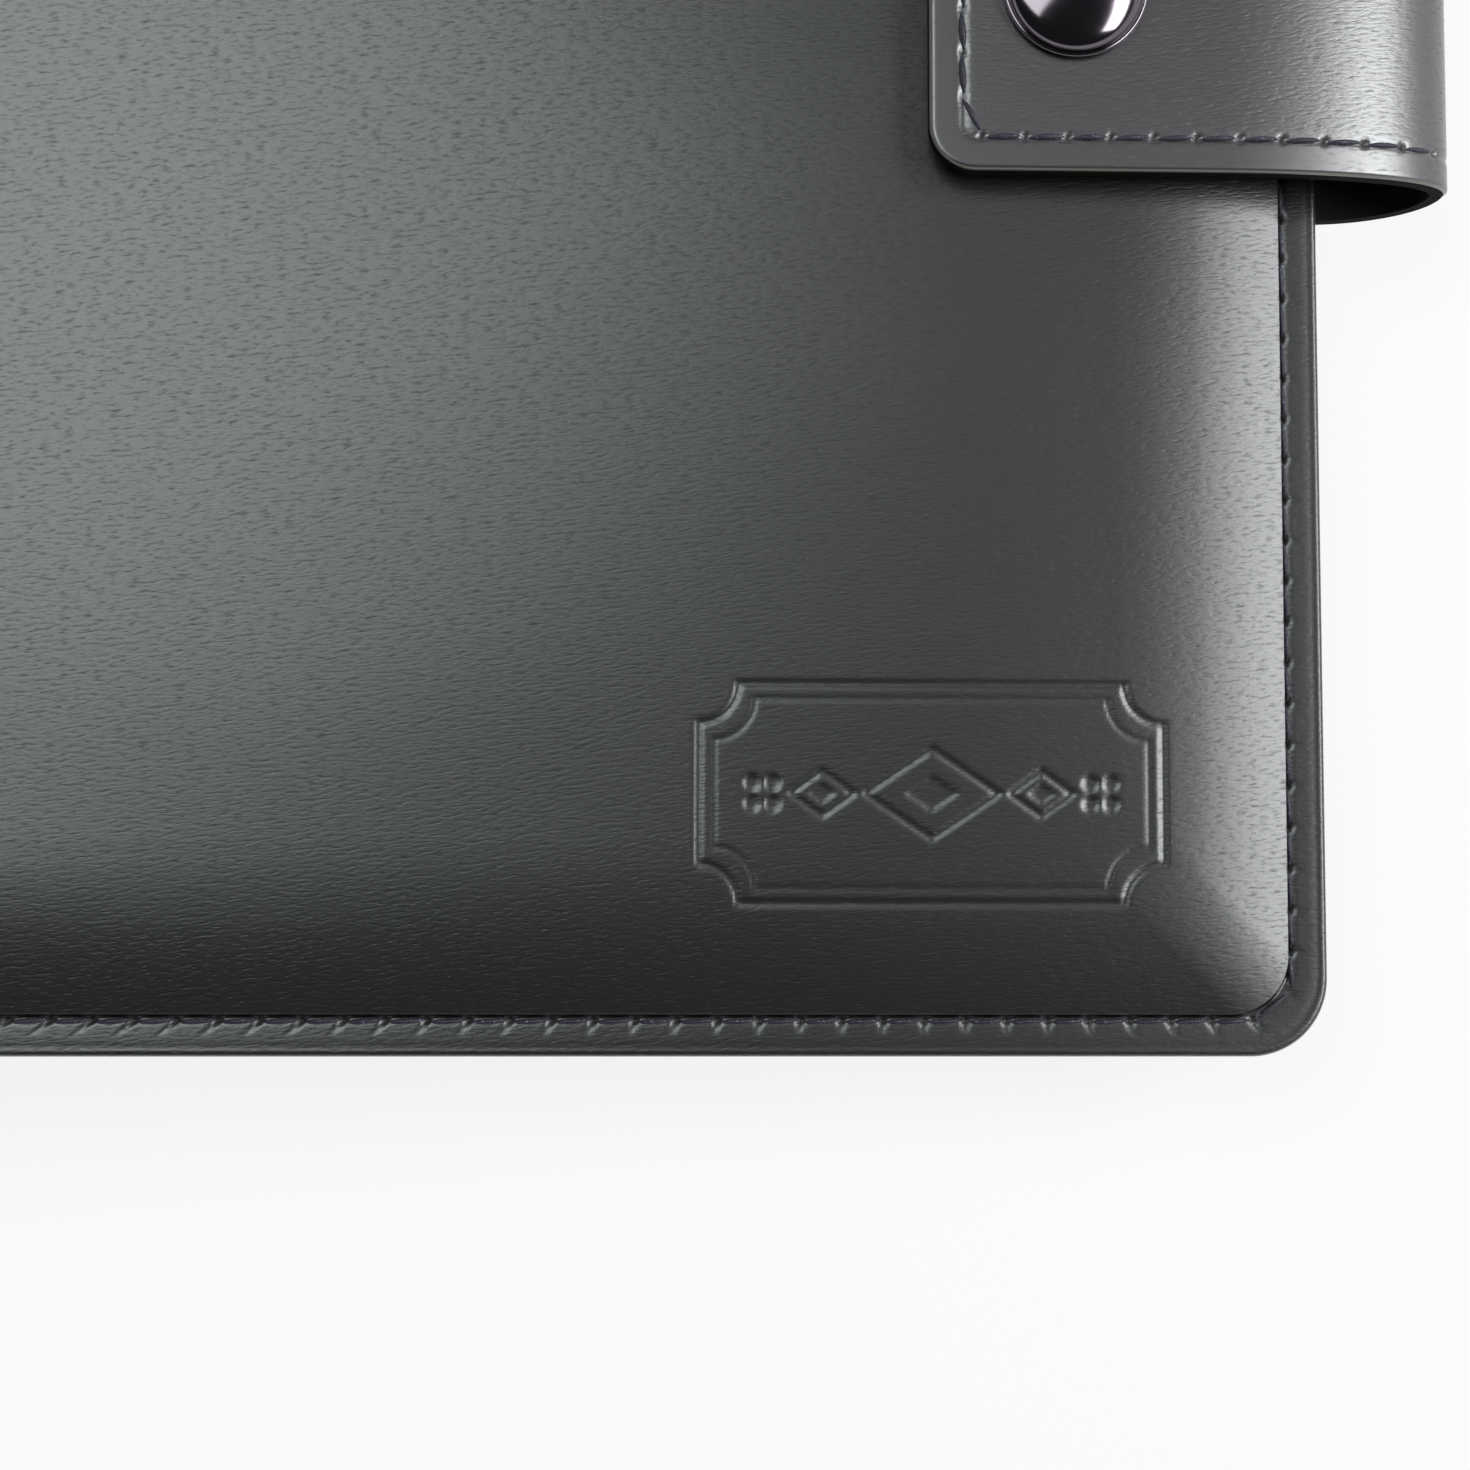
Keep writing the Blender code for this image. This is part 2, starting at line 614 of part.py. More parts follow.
def make_shield(spine_board, spine_lining):
    half_length = lever_pivot() + SHIELD_BEYOND_LEVER
    path = []
    for step in range(SHIELD_STEPS + 1):
        turn = math.radians(90 - 180 * step / SHIELD_STEPS)
        path.append((LAYER_GAP + SHIELD_RISE * math.cos(turn), SHIELD_HALF_WIDTH * math.sin(turn)))
    mesh = to_mesh(ribbon(path, [half_length] * len(path)), "ring_shield", math.radians(40))
    shield = add_piece("ring_shield", mesh, BRIGHT_NICKEL, MECHANISM_FRAME, "spine_axis")
    thicken(shield, SHIELD_WALL)
    slots = bmesh.new()
    half_slot = RING_WIRE + SLOT_SIDE_CLEARANCE
    for place in ring_places():
        for side in (-1, 1):
            ends = sorted((side * SLOT_INNER_EDGE, side * SLOT_OUTER_EDGE))
            add_slab(slots, (SLOT_SILL, 2 * SHIELD_RISE), (place - half_slot, place + half_slot), ends)
    slot_cutter = add_piece("ring_slots", to_mesh(slots, "ring_slots"), BRIGHT_NICKEL, MECHANISM_FRAME)
    cut(shield, as_cutter(slot_cutter))

    for name, place in (("rivet_head", RIVET_PLACE), ("rivet_tail", -RIVET_PLACE)):
        low = SPINE_BOARD_FACE - SPINE_LINING_FACE
        frame = rivet_frame(place)
        bore = hole_cutter(f"{name}_bore", RIVET_SHANK + RIVET_CLEARANCE, frame, low, SHIELD_RISE)
        for piece in (spine_board, spine_lining, shield):
            cut(piece, bore)
        seat = SHIELD_RISE + 2 * LAYER_GAP
        top = seat + RIVET_HEAD_HEIGHT
        profile = [(0, low), (RIVET_SHANK, low), (RIVET_SHANK, seat), (RIVET_HEAD, seat)]
        profile += [(RIVET_HEAD - RIVET_HEAD_EDGE, top - RIVET_HEAD_CROWN), (0, top)]
        add_turned(name, profile, RIVET_STEPS, BRIGHT_NICKEL, frame, "spine_axis")


def add_slab(bm, x_range, y_range, z_range):
    """Adds a closed block to a mesh in the making."""
    cube = bmesh.ops.create_cube(bm, size=1)["verts"]
    ranges = (x_range, y_range, z_range)
    for vert in cube:
        vert.co = Vector([low + (high - low) * (share + 0.5) for share, (low, high) in zip(vert.co, ranges)])


def ring_places():
    return sorted([-place for place in RING_PLACES] + list(RING_PLACES))


def make_half_ring(name, side, place, axis):
    """A bent wire that stands on its blade and meets the other half at the top."""
    tip_angle = math.pi - math.asin(RING_TIP_GAP / 2 / RING_RADIUS)
    curve = bpy.data.curves.new(name, "CURVE")
    curve.dimensions = "3D"
    curve.bevel_depth = RING_WIRE
    curve.bevel_resolution = 2
    curve.use_fill_caps = True
    spline = curve.splines.new("POLY")
    spline.points.add(RING_STEPS)
    for step, point in enumerate(spline.points):
        turn = RING_FOOT_ANGLE + (tip_angle - RING_FOOT_ANGLE) * step / RING_STEPS
        height = RING_CENTRE - RING_RADIUS * math.cos(turn)
        point.co = (height, place, side * RING_RADIUS * math.sin(turn), 1)
    spline.use_smooth = True
    add_piece(name, curve, BRIGHT_NICKEL, MECHANISM_FRAME, axis)


def make_ring_bank(bank, side):
    """A blade with its six half rings."""
    axis = f"ring_{bank}_axis"
    half_length = max(RING_PLACES) + BLADE_BEYOND_RING
    section = (
        (BLADE_OUTER_HEIGHT, BLADE_OUTER_EDGE),
        (BLADE_OUTER_HEIGHT + BLADE_THICKNESS, BLADE_OUTER_EDGE),
        (BLADE_INNER_HEIGHT + BLADE_THICKNESS, BLADE_INNER_EDGE),
        (BLADE_INNER_HEIGHT, BLADE_INNER_EDGE),
    )
    corners = [(height, -half_length, side * across) for height, across in section]
    mesh = to_mesh(prism(corners, (0, 2 * half_length, 0)), f"blade_{bank}")
    blade = add_piece(f"blade_{bank}", mesh, BRIGHT_NICKEL, MECHANISM_FRAME, axis)
    for end, place in (("head", RIVET_PLACE), ("tail", -RIVET_PLACE)):
        radius = RIVET_SHANK + BLADE_NOTCH_CLEARANCE
        cut(blade, hole_cutter(f"{bank}_notch_{end}", radius, rivet_frame(place), 0, SHIELD_RISE))
    for i, place in enumerate(ring_places()):
        make_half_ring(f"half_ring_{bank}_{i + 1}", side, place, axis)


def make_lever(end, side):
    """A thumb lever at one end: its tongue lifts the blades when its tab is pressed outwards."""
    pivot = lever_pivot()
    low = LEVER_PIVOT_HEIGHT - LEVER_THICKNESS / 2
    high = LEVER_PIVOT_HEIGHT + LEVER_THICKNESS / 2
    clear = SHIELD_BEYOND_LEVER + LAYER_GAP
    profile = (
        (low, -LEVER_TONGUE),
        (high, -LEVER_TONGUE),
        (high, clear),
        (LEVER_BEND_INNER, LEVER_TAB_REACH - 3 * LEVER_THICKNESS),
        (LEVER_TAB_HEIGHT, LEVER_TAB_REACH),
        (LEVER_TAB_HEIGHT - LEVER_THICKNESS, LEVER_TAB_REACH + LEVER_THICKNESS / 2),
        (LEVER_BEND_OUTER, LEVER_TAB_REACH - LEVER_THICKNESS),
        (low, clear + 2 * LEVER_THICKNESS),
    )
    corners = [(height, side * (pivot + along), -LEVER_HALF_WIDTH) for height, along in profile]
    mesh = to_mesh(prism(corners, (0, 0, 2 * LEVER_HALF_WIDTH)), f"lever_{end}")
    add_piece(f"lever_{end}", mesh, BRIGHT_NICKEL, MECHANISM_FRAME, f"lever_{end}_axis")


def make_axes():
    inward = CREASE_AXIS_SHARE * CREASE_RADIUS
    add_axis("spine_axis", BACK_CORNER + Vector((inward, 0, inward)))
    add_axis("front_axis", FRONT_CORNER + Vector((inward, 0, -inward)), "spine_axis")
    upper, lower = strap_turns()
    add_axis("strap_swing_axis", strap_hinge(lower))
    add_axis("strap_lift_axis", strap_hinge(upper), "strap_swing_axis")
    pivot_height = BLADE_OUTER_HEIGHT + BLADE_THICKNESS / 2
    for bank, side in (("upper", 1), ("lower", -1)):
        place = MECHANISM_FRAME @ Vector((pivot_height, 0, side * BLADE_OUTER_EDGE))
        add_axis(f"ring_{bank}_axis", place, "spine_axis")
    for end, side in (("head", 1), ("tail", -1)):
        place = MECHANISM_FRAME @ Vector((LEVER_PIVOT_HEIGHT, side * lever_pivot(), 0))
        add_axis(f"lever_{end}_axis", place, "spine_axis")


def main():
    clear_scene()
    make_axes()
    make_cover_skin("back", BACK_FRAME, 0, None)
    make_cover_layers("back", BACK_FRAME, None)
    make_back_pocket()
    front_skin = make_cover_skin("front", FRONT_FRAME, CROWN, "front_axis")
    front_foam, _ = make_cover_layers("front", FRONT_FRAME, "front_axis")
    make_front_pockets()
    spine_board, spine_lining = make_spine()
    make_strap()
    make_snap(front_skin, front_foam)
    make_shield(spine_board, spine_lining)
    make_ring_bank("upper", 1)
    make_ring_bank("lower", -1)
    make_lever("head", 1)
    make_lever("tail", -1)


main()
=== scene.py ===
"""The looks of a ring folder for documents, closed, with its strap snapped on.

Padded leatherette covers and spine, sewn edges, a strap with a snap, cloth inside, and a nickel ring
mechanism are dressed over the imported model. +X points to the fore-edge, +Y to the head, +Z up through the
front cover, in metres.
"""

import json
import math

import bmesh
import bpy
import numpy as np
from mathutils import Matrix, Vector


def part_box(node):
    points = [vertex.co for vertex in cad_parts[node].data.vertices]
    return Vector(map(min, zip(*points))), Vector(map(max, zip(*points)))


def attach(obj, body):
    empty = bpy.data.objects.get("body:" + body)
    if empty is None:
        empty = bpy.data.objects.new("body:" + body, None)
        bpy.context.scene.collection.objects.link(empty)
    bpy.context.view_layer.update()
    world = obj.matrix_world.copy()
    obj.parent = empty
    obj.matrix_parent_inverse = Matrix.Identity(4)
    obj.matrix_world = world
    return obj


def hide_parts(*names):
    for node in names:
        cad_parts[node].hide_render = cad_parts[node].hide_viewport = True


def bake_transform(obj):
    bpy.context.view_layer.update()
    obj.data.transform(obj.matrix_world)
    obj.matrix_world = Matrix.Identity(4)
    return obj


bl_info = {
    "name": "Document Ring Folder",
    "version": (1, 0, 0),
    "blender": (4, 5, 0),
    "location": "View3D > Sidebar > Folder",
    "description": "Dresses a ring folder in leatherette, thread, cloth and nickel",
    "category": "Object",
}

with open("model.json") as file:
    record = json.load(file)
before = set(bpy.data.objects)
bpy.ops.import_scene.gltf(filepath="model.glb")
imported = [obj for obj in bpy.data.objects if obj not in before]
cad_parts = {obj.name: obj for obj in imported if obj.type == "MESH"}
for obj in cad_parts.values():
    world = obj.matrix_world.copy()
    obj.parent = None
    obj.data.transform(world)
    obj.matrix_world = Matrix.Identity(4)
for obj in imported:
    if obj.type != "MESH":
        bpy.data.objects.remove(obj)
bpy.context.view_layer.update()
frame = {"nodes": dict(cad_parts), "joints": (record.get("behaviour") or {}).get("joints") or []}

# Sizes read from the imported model
BACK_LOW, BACK_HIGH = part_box("back_skin")
COVER_WIDTH = BACK_HIGH.x - BACK_LOW.x
HALF_HEIGHT = BACK_HIGH.y
INNER_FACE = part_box("back_lining")[1].z
FOLDS = {joint["name"]: joint for joint in frame["joints"]}
TILT = math.radians(max(FOLDS["front_fold"]["range_deg"])) - math.pi / 2

# Layers of a cover, from its inner face out
LINING = 0.0009
LAYER_GAP = 0.0003
BOARD = 0.0016
FOAM = 0.0012
SKIN = 0.00095
BOARD_HIGH = LINING + LAYER_GAP + BOARD
FOAM_LOW = BOARD_HIGH + LAYER_GAP
FOAM_HIGH = FOAM_LOW + FOAM
FLANGE_TOP = LINING + LAYER_GAP + SKIN
PAD_TOP = INNER_FACE
LINING_INSET = 0.0008

# Padded panel
CORNER_RADIUS = 0.0085
SPINE_CORNER_RADIUS = 0.0010
SEAM_CORNER_RADIUS = 0.0064
PAD_CORNER = 0.0060
PAD_START = 0.00468
PAD_SLOPE = 0.0188
PAD_STEP = 0.0014
STEP_WIDTH = 0.00022
FOAM_INSET = 0.0101
FOAM_TOP_INSET = 0.0130
FOAM_SLACK = 0.00012
FOAM_LIFT = 0.00002
FOAM_RINGS = (FOAM_INSET + 0.0008, FOAM_TOP_INSET, 0.0155, 0.0185, 0.022, 0.04)
SHOULDER_POWER = 2
FLANGE_LIFT = 0.00012
CROWN = 0.0003
CROWN_REACH = 0.031
PLATEAU_INSET = 0.014
EDGE_ROUND = 0.0005
EDGE_LINE = 0.0010
EDGE_LINE_DEPTH = 0.00004
EDGE_LINE_HALF = 0.00022
SEAM_GROOVE_DEPTH = 0.00016
SEAM_GROOVE_HALF = 0.00030
HOLE_DEPTH = 0.0006
HOLE_LONG = 0.00040
HOLE_SHORT = 0.00032
HOLE_SLANT = math.radians(52)
WAVE_HEIGHT = 0.00007
UNDERSIDE_GAP = 0.00005

# Seams of a cover, from its edges
SEAM_FROM_FORE = 0.0041
SEAM_FROM_TAIL = 0.0038
SEAM_FROM_SPINE = 0.0040
SEAM_TURN_TAIL = 0.0083
SEAM_TURN_FORE = 0.0069
STITCH_DIVES = ((0.3, 0.18), (0.6, 0.45), (0.85, 0.7))
STITCH_LEAN = 0.16
STITCH_SHARE = 0.47

# Tooled ornament, from the fore-edge and the tail
ORNAMENT_FROM_FORE = 0.0435
ORNAMENT_FROM_TAIL = 0.0283
ORNAMENT_LINE = 0.00029
ORNAMENT_DEPTH = 0.00020
ORNAMENT_X = COVER_WIDTH - ORNAMENT_FROM_FORE
ORNAMENT_Y = ORNAMENT_FROM_TAIL - HALF_HEIGHT
HOLLOW_CORNER = 0.0042
INNER_FRAME_INSET = 0.0016
INNER_HOLLOW_CORNER = 0.0044
LOZENGES = ((0, 0.0072, 0.0048), (-0.0118, 0.0034, 0.0024), (0.0118, 0.0034, 0.0024))
DOT_PLACES = (-0.0182, 0.0182)
DOT_REACH = 0.0011
DOT_RADIUS = 0.0006

# Meshes of the covers: steps, corner cells, and the insets of their rings
PLAIN_STEP = 0.0024
TOOLED_STEP = 0.00030
TOOLED_MARGIN = 0.001
CORNER_CELLS = 6
TOOLED_CORNER_CELLS = 18
BAND_STEP = 0.00036
COARSE_BAND_STEP = 0.00060
BAND_CORNER_CELLS = 18
TOP_INSETS = (0.0131, 0.0121, 0.0111, 0.0101, 0.0091, 0.0082, 0.0073, 0.0065, 0.0059, 0.0054)
BAND_INSETS = (
    0.0051, 0.00488, 0.00474, 0.00468, 0.00460, 0.00448, 0.0043, 0.0041, 0.0039, 0.0036, 0.0031, 0.0021,
    0.0013, 0.0010, 0.0008, 0.0005, 0.0002, 0.0,
)
UNDERSIDE_INSETS = (0.0051, 0.0062, 0.0082, 0.0112, 0.0132)

# Spine
SPINE_GAP = 0.0245
CREASE_RADIUS = 0.0045
SPINE_OUTER = -COVER_WIDTH / 2 - LAYER_GAP - CREASE_RADIUS
FRONT_TANGENT = CREASE_RADIUS * math.tan((math.pi / 2 + TILT) / 2)
SPINE_MESH_STEP = 0.0003
SPINE_GROOVE_DEPTH = SEAM_GROOVE_DEPTH * 0.6
SPINE_LINE_PLACES = (0.0085, 0.0100)
SPINE_LINE_DEPTH = 0.00015
SPINE_LINE_HALF = 0.0003

# Strap, measured on its outer face
STRAP_WIDTH = 0.0400
STRAP_THICKNESS = 0.0019
STRAP_CORNER = 0.0050
STRAP_HIGH = 0.01015
STRAP_SEAM = 0.0036
STRAP_GROOVE_DEPTH = 0.00012
STRAP_GROOVE_HALF = 0.00045
STRAP_EDGE_ROUND = 0.00045
STRAP_LAYER_SHARE = 0.53
STRAP_STEP = 0.00028
STRAP_CORNER_CELLS = 18
STRAP_HOLE_DEPTH = 0.0005
STRAP_HOLE_SCALE = 0.9
BACKING_COARSENESS = 2
STRAP_CUT_ALONG = 0.0020
STRAP_CUT_ACROSS = 0.0044
FLAP_LENGTH = 0.044
FLAP_OVERHANG = 0.012
MARGIN_END = 0.0027
GRAIN_SLOPE = 0.10
# Painted highlight along the strap's cut edge: the width of its light line and its colour
EDGE_HIGHLIGHT_WIDTH = 0.00016
EDGE_HIGHLIGHT_COLOUR = (0.085, 0.088, 0.062, 1)
LOOP_REACH = 0.0142
ROOT_TAB = 0.019
ROOT_OVERHANG = 0.0015
BEZIER_CIRCLE = 0.5523
PATH_REACH = 0.0004

# Snap, on the front cover's own section
SNAP_FROM_FORE = 0.0283
CAP_LOW = 0.01045
CAP_RADIUS = 0.0079
CAP_HEIGHT = 0.0029
CAP_RIM = 0.00032
SHANK_RADIUS = 0.0014

# Ring mechanism, from the spine's lining
RING_PLACES = (-0.073, -0.054, -0.035, 0.035, 0.054, 0.073)
RING_RADIUS = 0.0066
RING_WIRE = 0.0011
RING_CENTRE = 0.0072
RING_FOOT_ANGLE = math.radians(44.5)
RING_TIP_GAP = 0.0004
SHIELD_HALF_WIDTH = 0.0072
SHIELD_RISE = 0.0047
SHIELD_HALF_LENGTH = 0.0895
SHIELD_WALL = 0.0006
SHIELD_ROUND = 0.00012
SHIELD_SLOTS = (0.0013, 0.0032, 0.0068, 0.0017)
LEVER_PIVOT = 0.086
LEVER_THICKNESS = 0.0009
LEVER_ROUND = 0.00028
LEVER_LINE = (
    (0.0018, -0.0068), (0.0018, 0.0040), (0.0026, 0.0049),
    (0.0062, 0.0064), (0.0074, 0.0070), (0.0088, 0.0087),
)
RIVET_PLACE = 0.020

# Cloth panels
CLOTH_EDGE = 0.00018
CLOTH_MARGIN = 0.0018
CLOTH_STITCH = 0.0030
HEM = 0.0045
HEM_FOLD = 0.00012
HEM_SEAM = 0.0010

BACK_FRAME = Matrix.Translation((-COVER_WIDTH / 2, 0, INNER_FACE)) @ Matrix.Rotation(math.pi, 4, "X")
FRONT_FRAME = Matrix.Translation((
    SPINE_OUTER + (LAYER_GAP + FRONT_TANGENT) * math.cos(TILT) - FLANGE_TOP * math.sin(TILT),
    0,
    INNER_FACE + SPINE_GAP,
)) @ Matrix.Rotation(TILT, 4, "Y")
FRONT_CORNER = FRONT_FRAME @ Vector((-LAYER_GAP - FRONT_TANGENT, 0, FLANGE_TOP))
SNAP_FRAME = FRONT_FRAME @ Matrix.Translation((COVER_WIDTH - SNAP_FROM_FORE, 0, 0))
MECHANISM_FRAME = Matrix.Translation((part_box("spine_lining")[1].x, 0, INNER_FACE + SPINE_GAP / 2))
COVERS = (("front", FRONT_FRAME, "front_cover"), ("back", BACK_FRAME, "back_cover"))

# Camera of the reference picture
CAMERA_PLACE = (0.03638, -0.09469, 0.24985)
CAMERA_TURNS = (3.626, 3.627, -0.106)
PICTURE_SIZE = 1470
FOCAL_PIXELS = 2100
SENSOR = 36

# Stage
FLOOR_GLOW = 0.85
BACKDROP_RADIUS = 3.0
BACKDROP_HEIGHT = 1.2
LAMPS = (
    ("overhead", (-0.31, 0.30, 1.04), (0, 0, 0), (0.74, 0.70), 6.6, (0.95, 1.0, 0.99)),
    ("window", (0.70, 0.03, 0.615), (0.09, 0.03, 0.024), (0.74, 0.28), 7.3, (0.97, 0.99, 1.0)),
)

# Filled in as the folder is dressed
looks = {}
STRAP_PATHS = {}


class FolderColours(bpy.types.PropertyGroup):
    leather: bpy.props.FloatVectorProperty(
        name="Cover leatherette", description="Colour of the covers and the spine",
        subtype="COLOR", size=3, min=0, max=1, default=(0.0052, 0.0058, 0.0062))
    strap: bpy.props.FloatVectorProperty(
        name="Strap leatherette", description="Colour of the strap",
        subtype="COLOR", size=3, min=0, max=1, default=(0.0150, 0.0135, 0.0165))
    thread: bpy.props.FloatVectorProperty(
        name="Thread", description="Colour of the sewing thread",
        subtype="COLOR", size=3, min=0, max=1, default=(0.014, 0.012, 0.028))
    cloth: bpy.props.FloatVectorProperty(
        name="Lining cloth", description="Colour of the lining and the pockets",
        subtype="COLOR", size=3, min=0, max=1, default=(0.028, 0.028, 0.031))
    dark_nickel: bpy.props.FloatVectorProperty(
        name="Black nickel", description="Colour of the snap",
        subtype="COLOR", size=3, min=0, max=1, default=(0.16, 0.142, 0.16))
    bright_nickel: bpy.props.FloatVectorProperty(
        name="Bright nickel", description="Colour of the ring mechanism",
        subtype="COLOR", size=3, min=0, max=1, default=(0.70, 0.69, 0.67))


class FolderSizes(bpy.types.PropertyGroup):
    stitch: bpy.props.FloatProperty(
        name="Stitch", description="Length of one stitch", default=0.0045, min=0.002, unit="LENGTH")
    thread: bpy.props.FloatProperty(
        name="Thread radius", description="Half the thread's thickness", default=0.00032, unit="LENGTH")
    grain: bpy.props.FloatProperty(
        name="Grain", description="Length of the leather's creases", default=0.00125, unit="LENGTH")
    relief: bpy.props.FloatProperty(
        name="Relief", description="Depth of the leather's grain", default=0.000032, unit="LENGTH")
    ornament: bpy.props.FloatVectorProperty(
        name="Ornament", description="Width and height of the tooled frame",
        default=(0.050, 0.0235), size=2, subtype="XYZ", unit="LENGTH")


def sizes():
    return bpy.context.scene.folder_sizes


def colours():
    return bpy.context.scene.folder_colours


class Value:
    """A shader socket that plain sums can be written with: each operator adds its Math node."""

    def __init__(self, finish, socket):
        self.finish = finish
        self.socket = socket

    def __add__(self, other):
        return self.finish.maths("ADD", self, other)

    __radd__ = __add__

    def __sub__(self, other):
        return self.finish.maths("SUBTRACT", self, other)

    def __rsub__(self, other):
        return self.finish.maths("SUBTRACT", other, self)

    def __mul__(self, other):
        return self.finish.maths("MULTIPLY", self, other)

    __rmul__ = __mul__

    def __truediv__(self, other):
        return self.finish.maths("DIVIDE", self, other)

    def clamped(self):
        return self.finish.maths("MAXIMUM", self.finish.maths("MINIMUM", self, 1), 0)


class Finish:
    """The nodes of one material, around its Principled shader."""

    def __init__(self, name, colour, roughness, metallic=0.0, **constants):
        self.material = bpy.data.materials.new(name)
        self.material.use_nodes = True
        self.tree = self.material.node_tree
        self.shader = self.tree.nodes["Principled BSDF"]
        self.set("Base Color", (*colour, 1))
        self.set("Roughness", roughness)
        self.set("Metallic", metallic)
        for socket, value in constants.items():
            self.set(socket.replace("_", " "), value)

    def feed(self, socket, value):
        if isinstance(value, Value):
            self.tree.links.new(value.socket, socket)
        else:
            socket.default_value = value

    def set(self, socket, value):
        self.feed(self.shader.inputs[socket], value)

    def node(self, kind, settings=None, sockets=None, output=0):
        made = self.tree.nodes.new(kind)
        for key, value in (settings or {}).items():
            setattr(made, key, value)
        for key, value in (sockets or {}).items():
            self.feed(made.inputs[key], value)
        return Value(self, made.outputs[output])

    def maths(self, operation, *values):
        return self.node("ShaderNodeMath", {"operation": operation}, dict(enumerate(values)))

    def mix(self, share, first, second):
        return self.node("ShaderNodeMix", {"data_type": "RGBA"}, {0: share, 6: first, 7: second}, 2)

    def vector(self, x, y, z=0.0):
        return self.node("ShaderNodeCombineXYZ", None, {0: x, 1: y, 2: z})

    def noise(self, place, scale=1.0, detail=2.0):
        return self.node("ShaderNodeTexNoise", None, {"Vector": place, "Scale": scale, "Detail": detail})

    def spread(self):
        """The piece's own UV map as two distances in metres."""
        flat = self.node("ShaderNodeTexCoord", None, None, 2)
        return [self.node("ShaderNodeSeparateXYZ", None, {0: flat}, axis) for axis in (0, 1)]

    def place(self):
        return self.node("ShaderNodeTexCoord", None, None, 3)

    def bump(self, height, distance, strength=1.0):
        self.set("Normal", self.node("ShaderNodeBump", None, {
            "Height": height, "Distance": distance, "Strength": strength,
        }))


def colour_of(vector, gain=1.0):
    return (*(channel * gain for channel in vector), 1)


def leather_finish(name, colour, roughness=0.35, relief=1.0, gloss=0.62, coat=1.0, cut_edge=False):
    """Black leatherette: short wavy creases across a pebbled ground, and a slight drift of its tint. Painted
    shade darkens the creases and blacks out the needle holes, and a cut edge gets a thin painted highlight
    along its rim.
    """
    finish = Finish(name, colour, roughness, Specular_IOR_Level=gloss, Coat_Roughness=0.33)
    along, across = finish.spread()
    pitch = sizes().grain
    lean = across - along * GRAIN_SLOPE
    dash = finish.noise(finish.vector(along / pitch, lean / (pitch * 0.27)), detail=2)
    pebble = finish.noise(finish.vector(along / pitch * 2.4, lean / pitch * 6.5, 3.1), detail=2)
    crease = ((0.48 - dash) * 4.5).clamped()
    height = dash * 1.3 + pebble * 0.55 - crease * 0.35
    hole = finish.node("ShaderNodeAttribute", {"attribute_name": "hole"}, None, 2)
    tint = finish.noise(finish.vector(along * 18, across * 18, 5.0), detail=2)
    warm = (colour[0] * 1.22, colour[1] * 0.96, colour[2] * 1.10, 1)
    cool = (colour[0] * 0.86, colour[1] * 1.05, colour[2] * 1.02, 1)
    # Painted shade: the base colour darkens in the creases
    ground = finish.mix(crease * 0.8, finish.mix(tint, warm, cool), colour_of(colour, 0.35))
    film = (1.14 - crease * 0.6 - pebble * 0.45).clamped() * (1 - hole).clamped() * coat
    if cut_edge:
        from_edge = finish.node("ShaderNodeAttribute", {"attribute_name": "from_edge"}, None, 2)
        inside = (from_edge - MARGIN_END) * 2500
        height = height * (0.12 + inside.clamped())
        # Painted highlight: a thin light line in the base colour along the rim of the cut edge
        edge_highlight = (1 - (from_edge - EDGE_HIGHLIGHT_WIDTH) * 9000).clamped()
        ground = finish.mix(edge_highlight, ground, EDGE_HIGHLIGHT_COLOUR)
    finish.bump(height, sizes().relief * relief)
    # Painted shade: the needle holes are painted black, as the shade in their depth
    finish.set("Base Color", finish.mix(hole.clamped(), ground, (0, 0, 0, 1)))
    finish.set("Coat Weight", film)
    finish.set("Roughness", roughness - 0.05 + pebble * 0.10 + crease * 0.10 + hole * 0.5)
    return finish.material


def edge_finish(name, colour):
    """Cut edge: matt black backing, a little fibrous."""
    finish = Finish(name, colour, 0.85, Specular_IOR_Level=0.15)
    uneven = finish.noise(finish.place(), 1400, 2)
    finish.bump(uneven, 0.00006)
    finish.set("Base Color", finish.mix(uneven, colour_of(colour, 0.5), colour_of(colour, 1.5)))
    return finish.material


def thread_finish():
    """Polyester sewing thread: dark, with a bluish sheen and painted glints, bright flecks scattered at
    random.
    """
    colour = colours().thread
    finish = Finish("thread", colour, 0.45, Sheen_Weight=0.25, Sheen_Roughness=0.4)
    ply = finish.noise(finish.place(), 5200, 1)
    # Painted glints: bright bluish flecks scattered at random over the thread's colour
    fleck_and_glint = ((finish.noise(finish.place(), 2300, 1) - 0.66) * 9).clamped()
    finish.set("Base Color", finish.mix(fleck_and_glint, colour_of(colour), (0.16, 0.16, 0.22, 1)))
    finish.bump(ply, 0.00009)
    return finish.material


def cloth_finish(name, colour):
    """Black book cloth: a tight plain weave, slightly slubbed."""
    finish = Finish(name, colour, 0.86, Sheen_Weight=0.2)
    along, across = finish.spread()
    turns = 2 * math.pi / 0.00042
    warp = finish.maths("SINE", along * turns)
    weft = finish.maths("SINE", across * turns)
    weave = warp * weft
    slub = finish.noise(finish.vector(along * 240, across * 2600), detail=2)
    finish.bump(weave * 0.5 + slub * 0.5, 0.00005)
    share = (weave * 0.35 + slub).clamped()
    finish.set("Base Color", finish.mix(share, colour_of(colour, 0.7), colour_of(colour, 1.7)))
    finish.set("Roughness", 0.78 + slub * 0.15)
    return finish.material


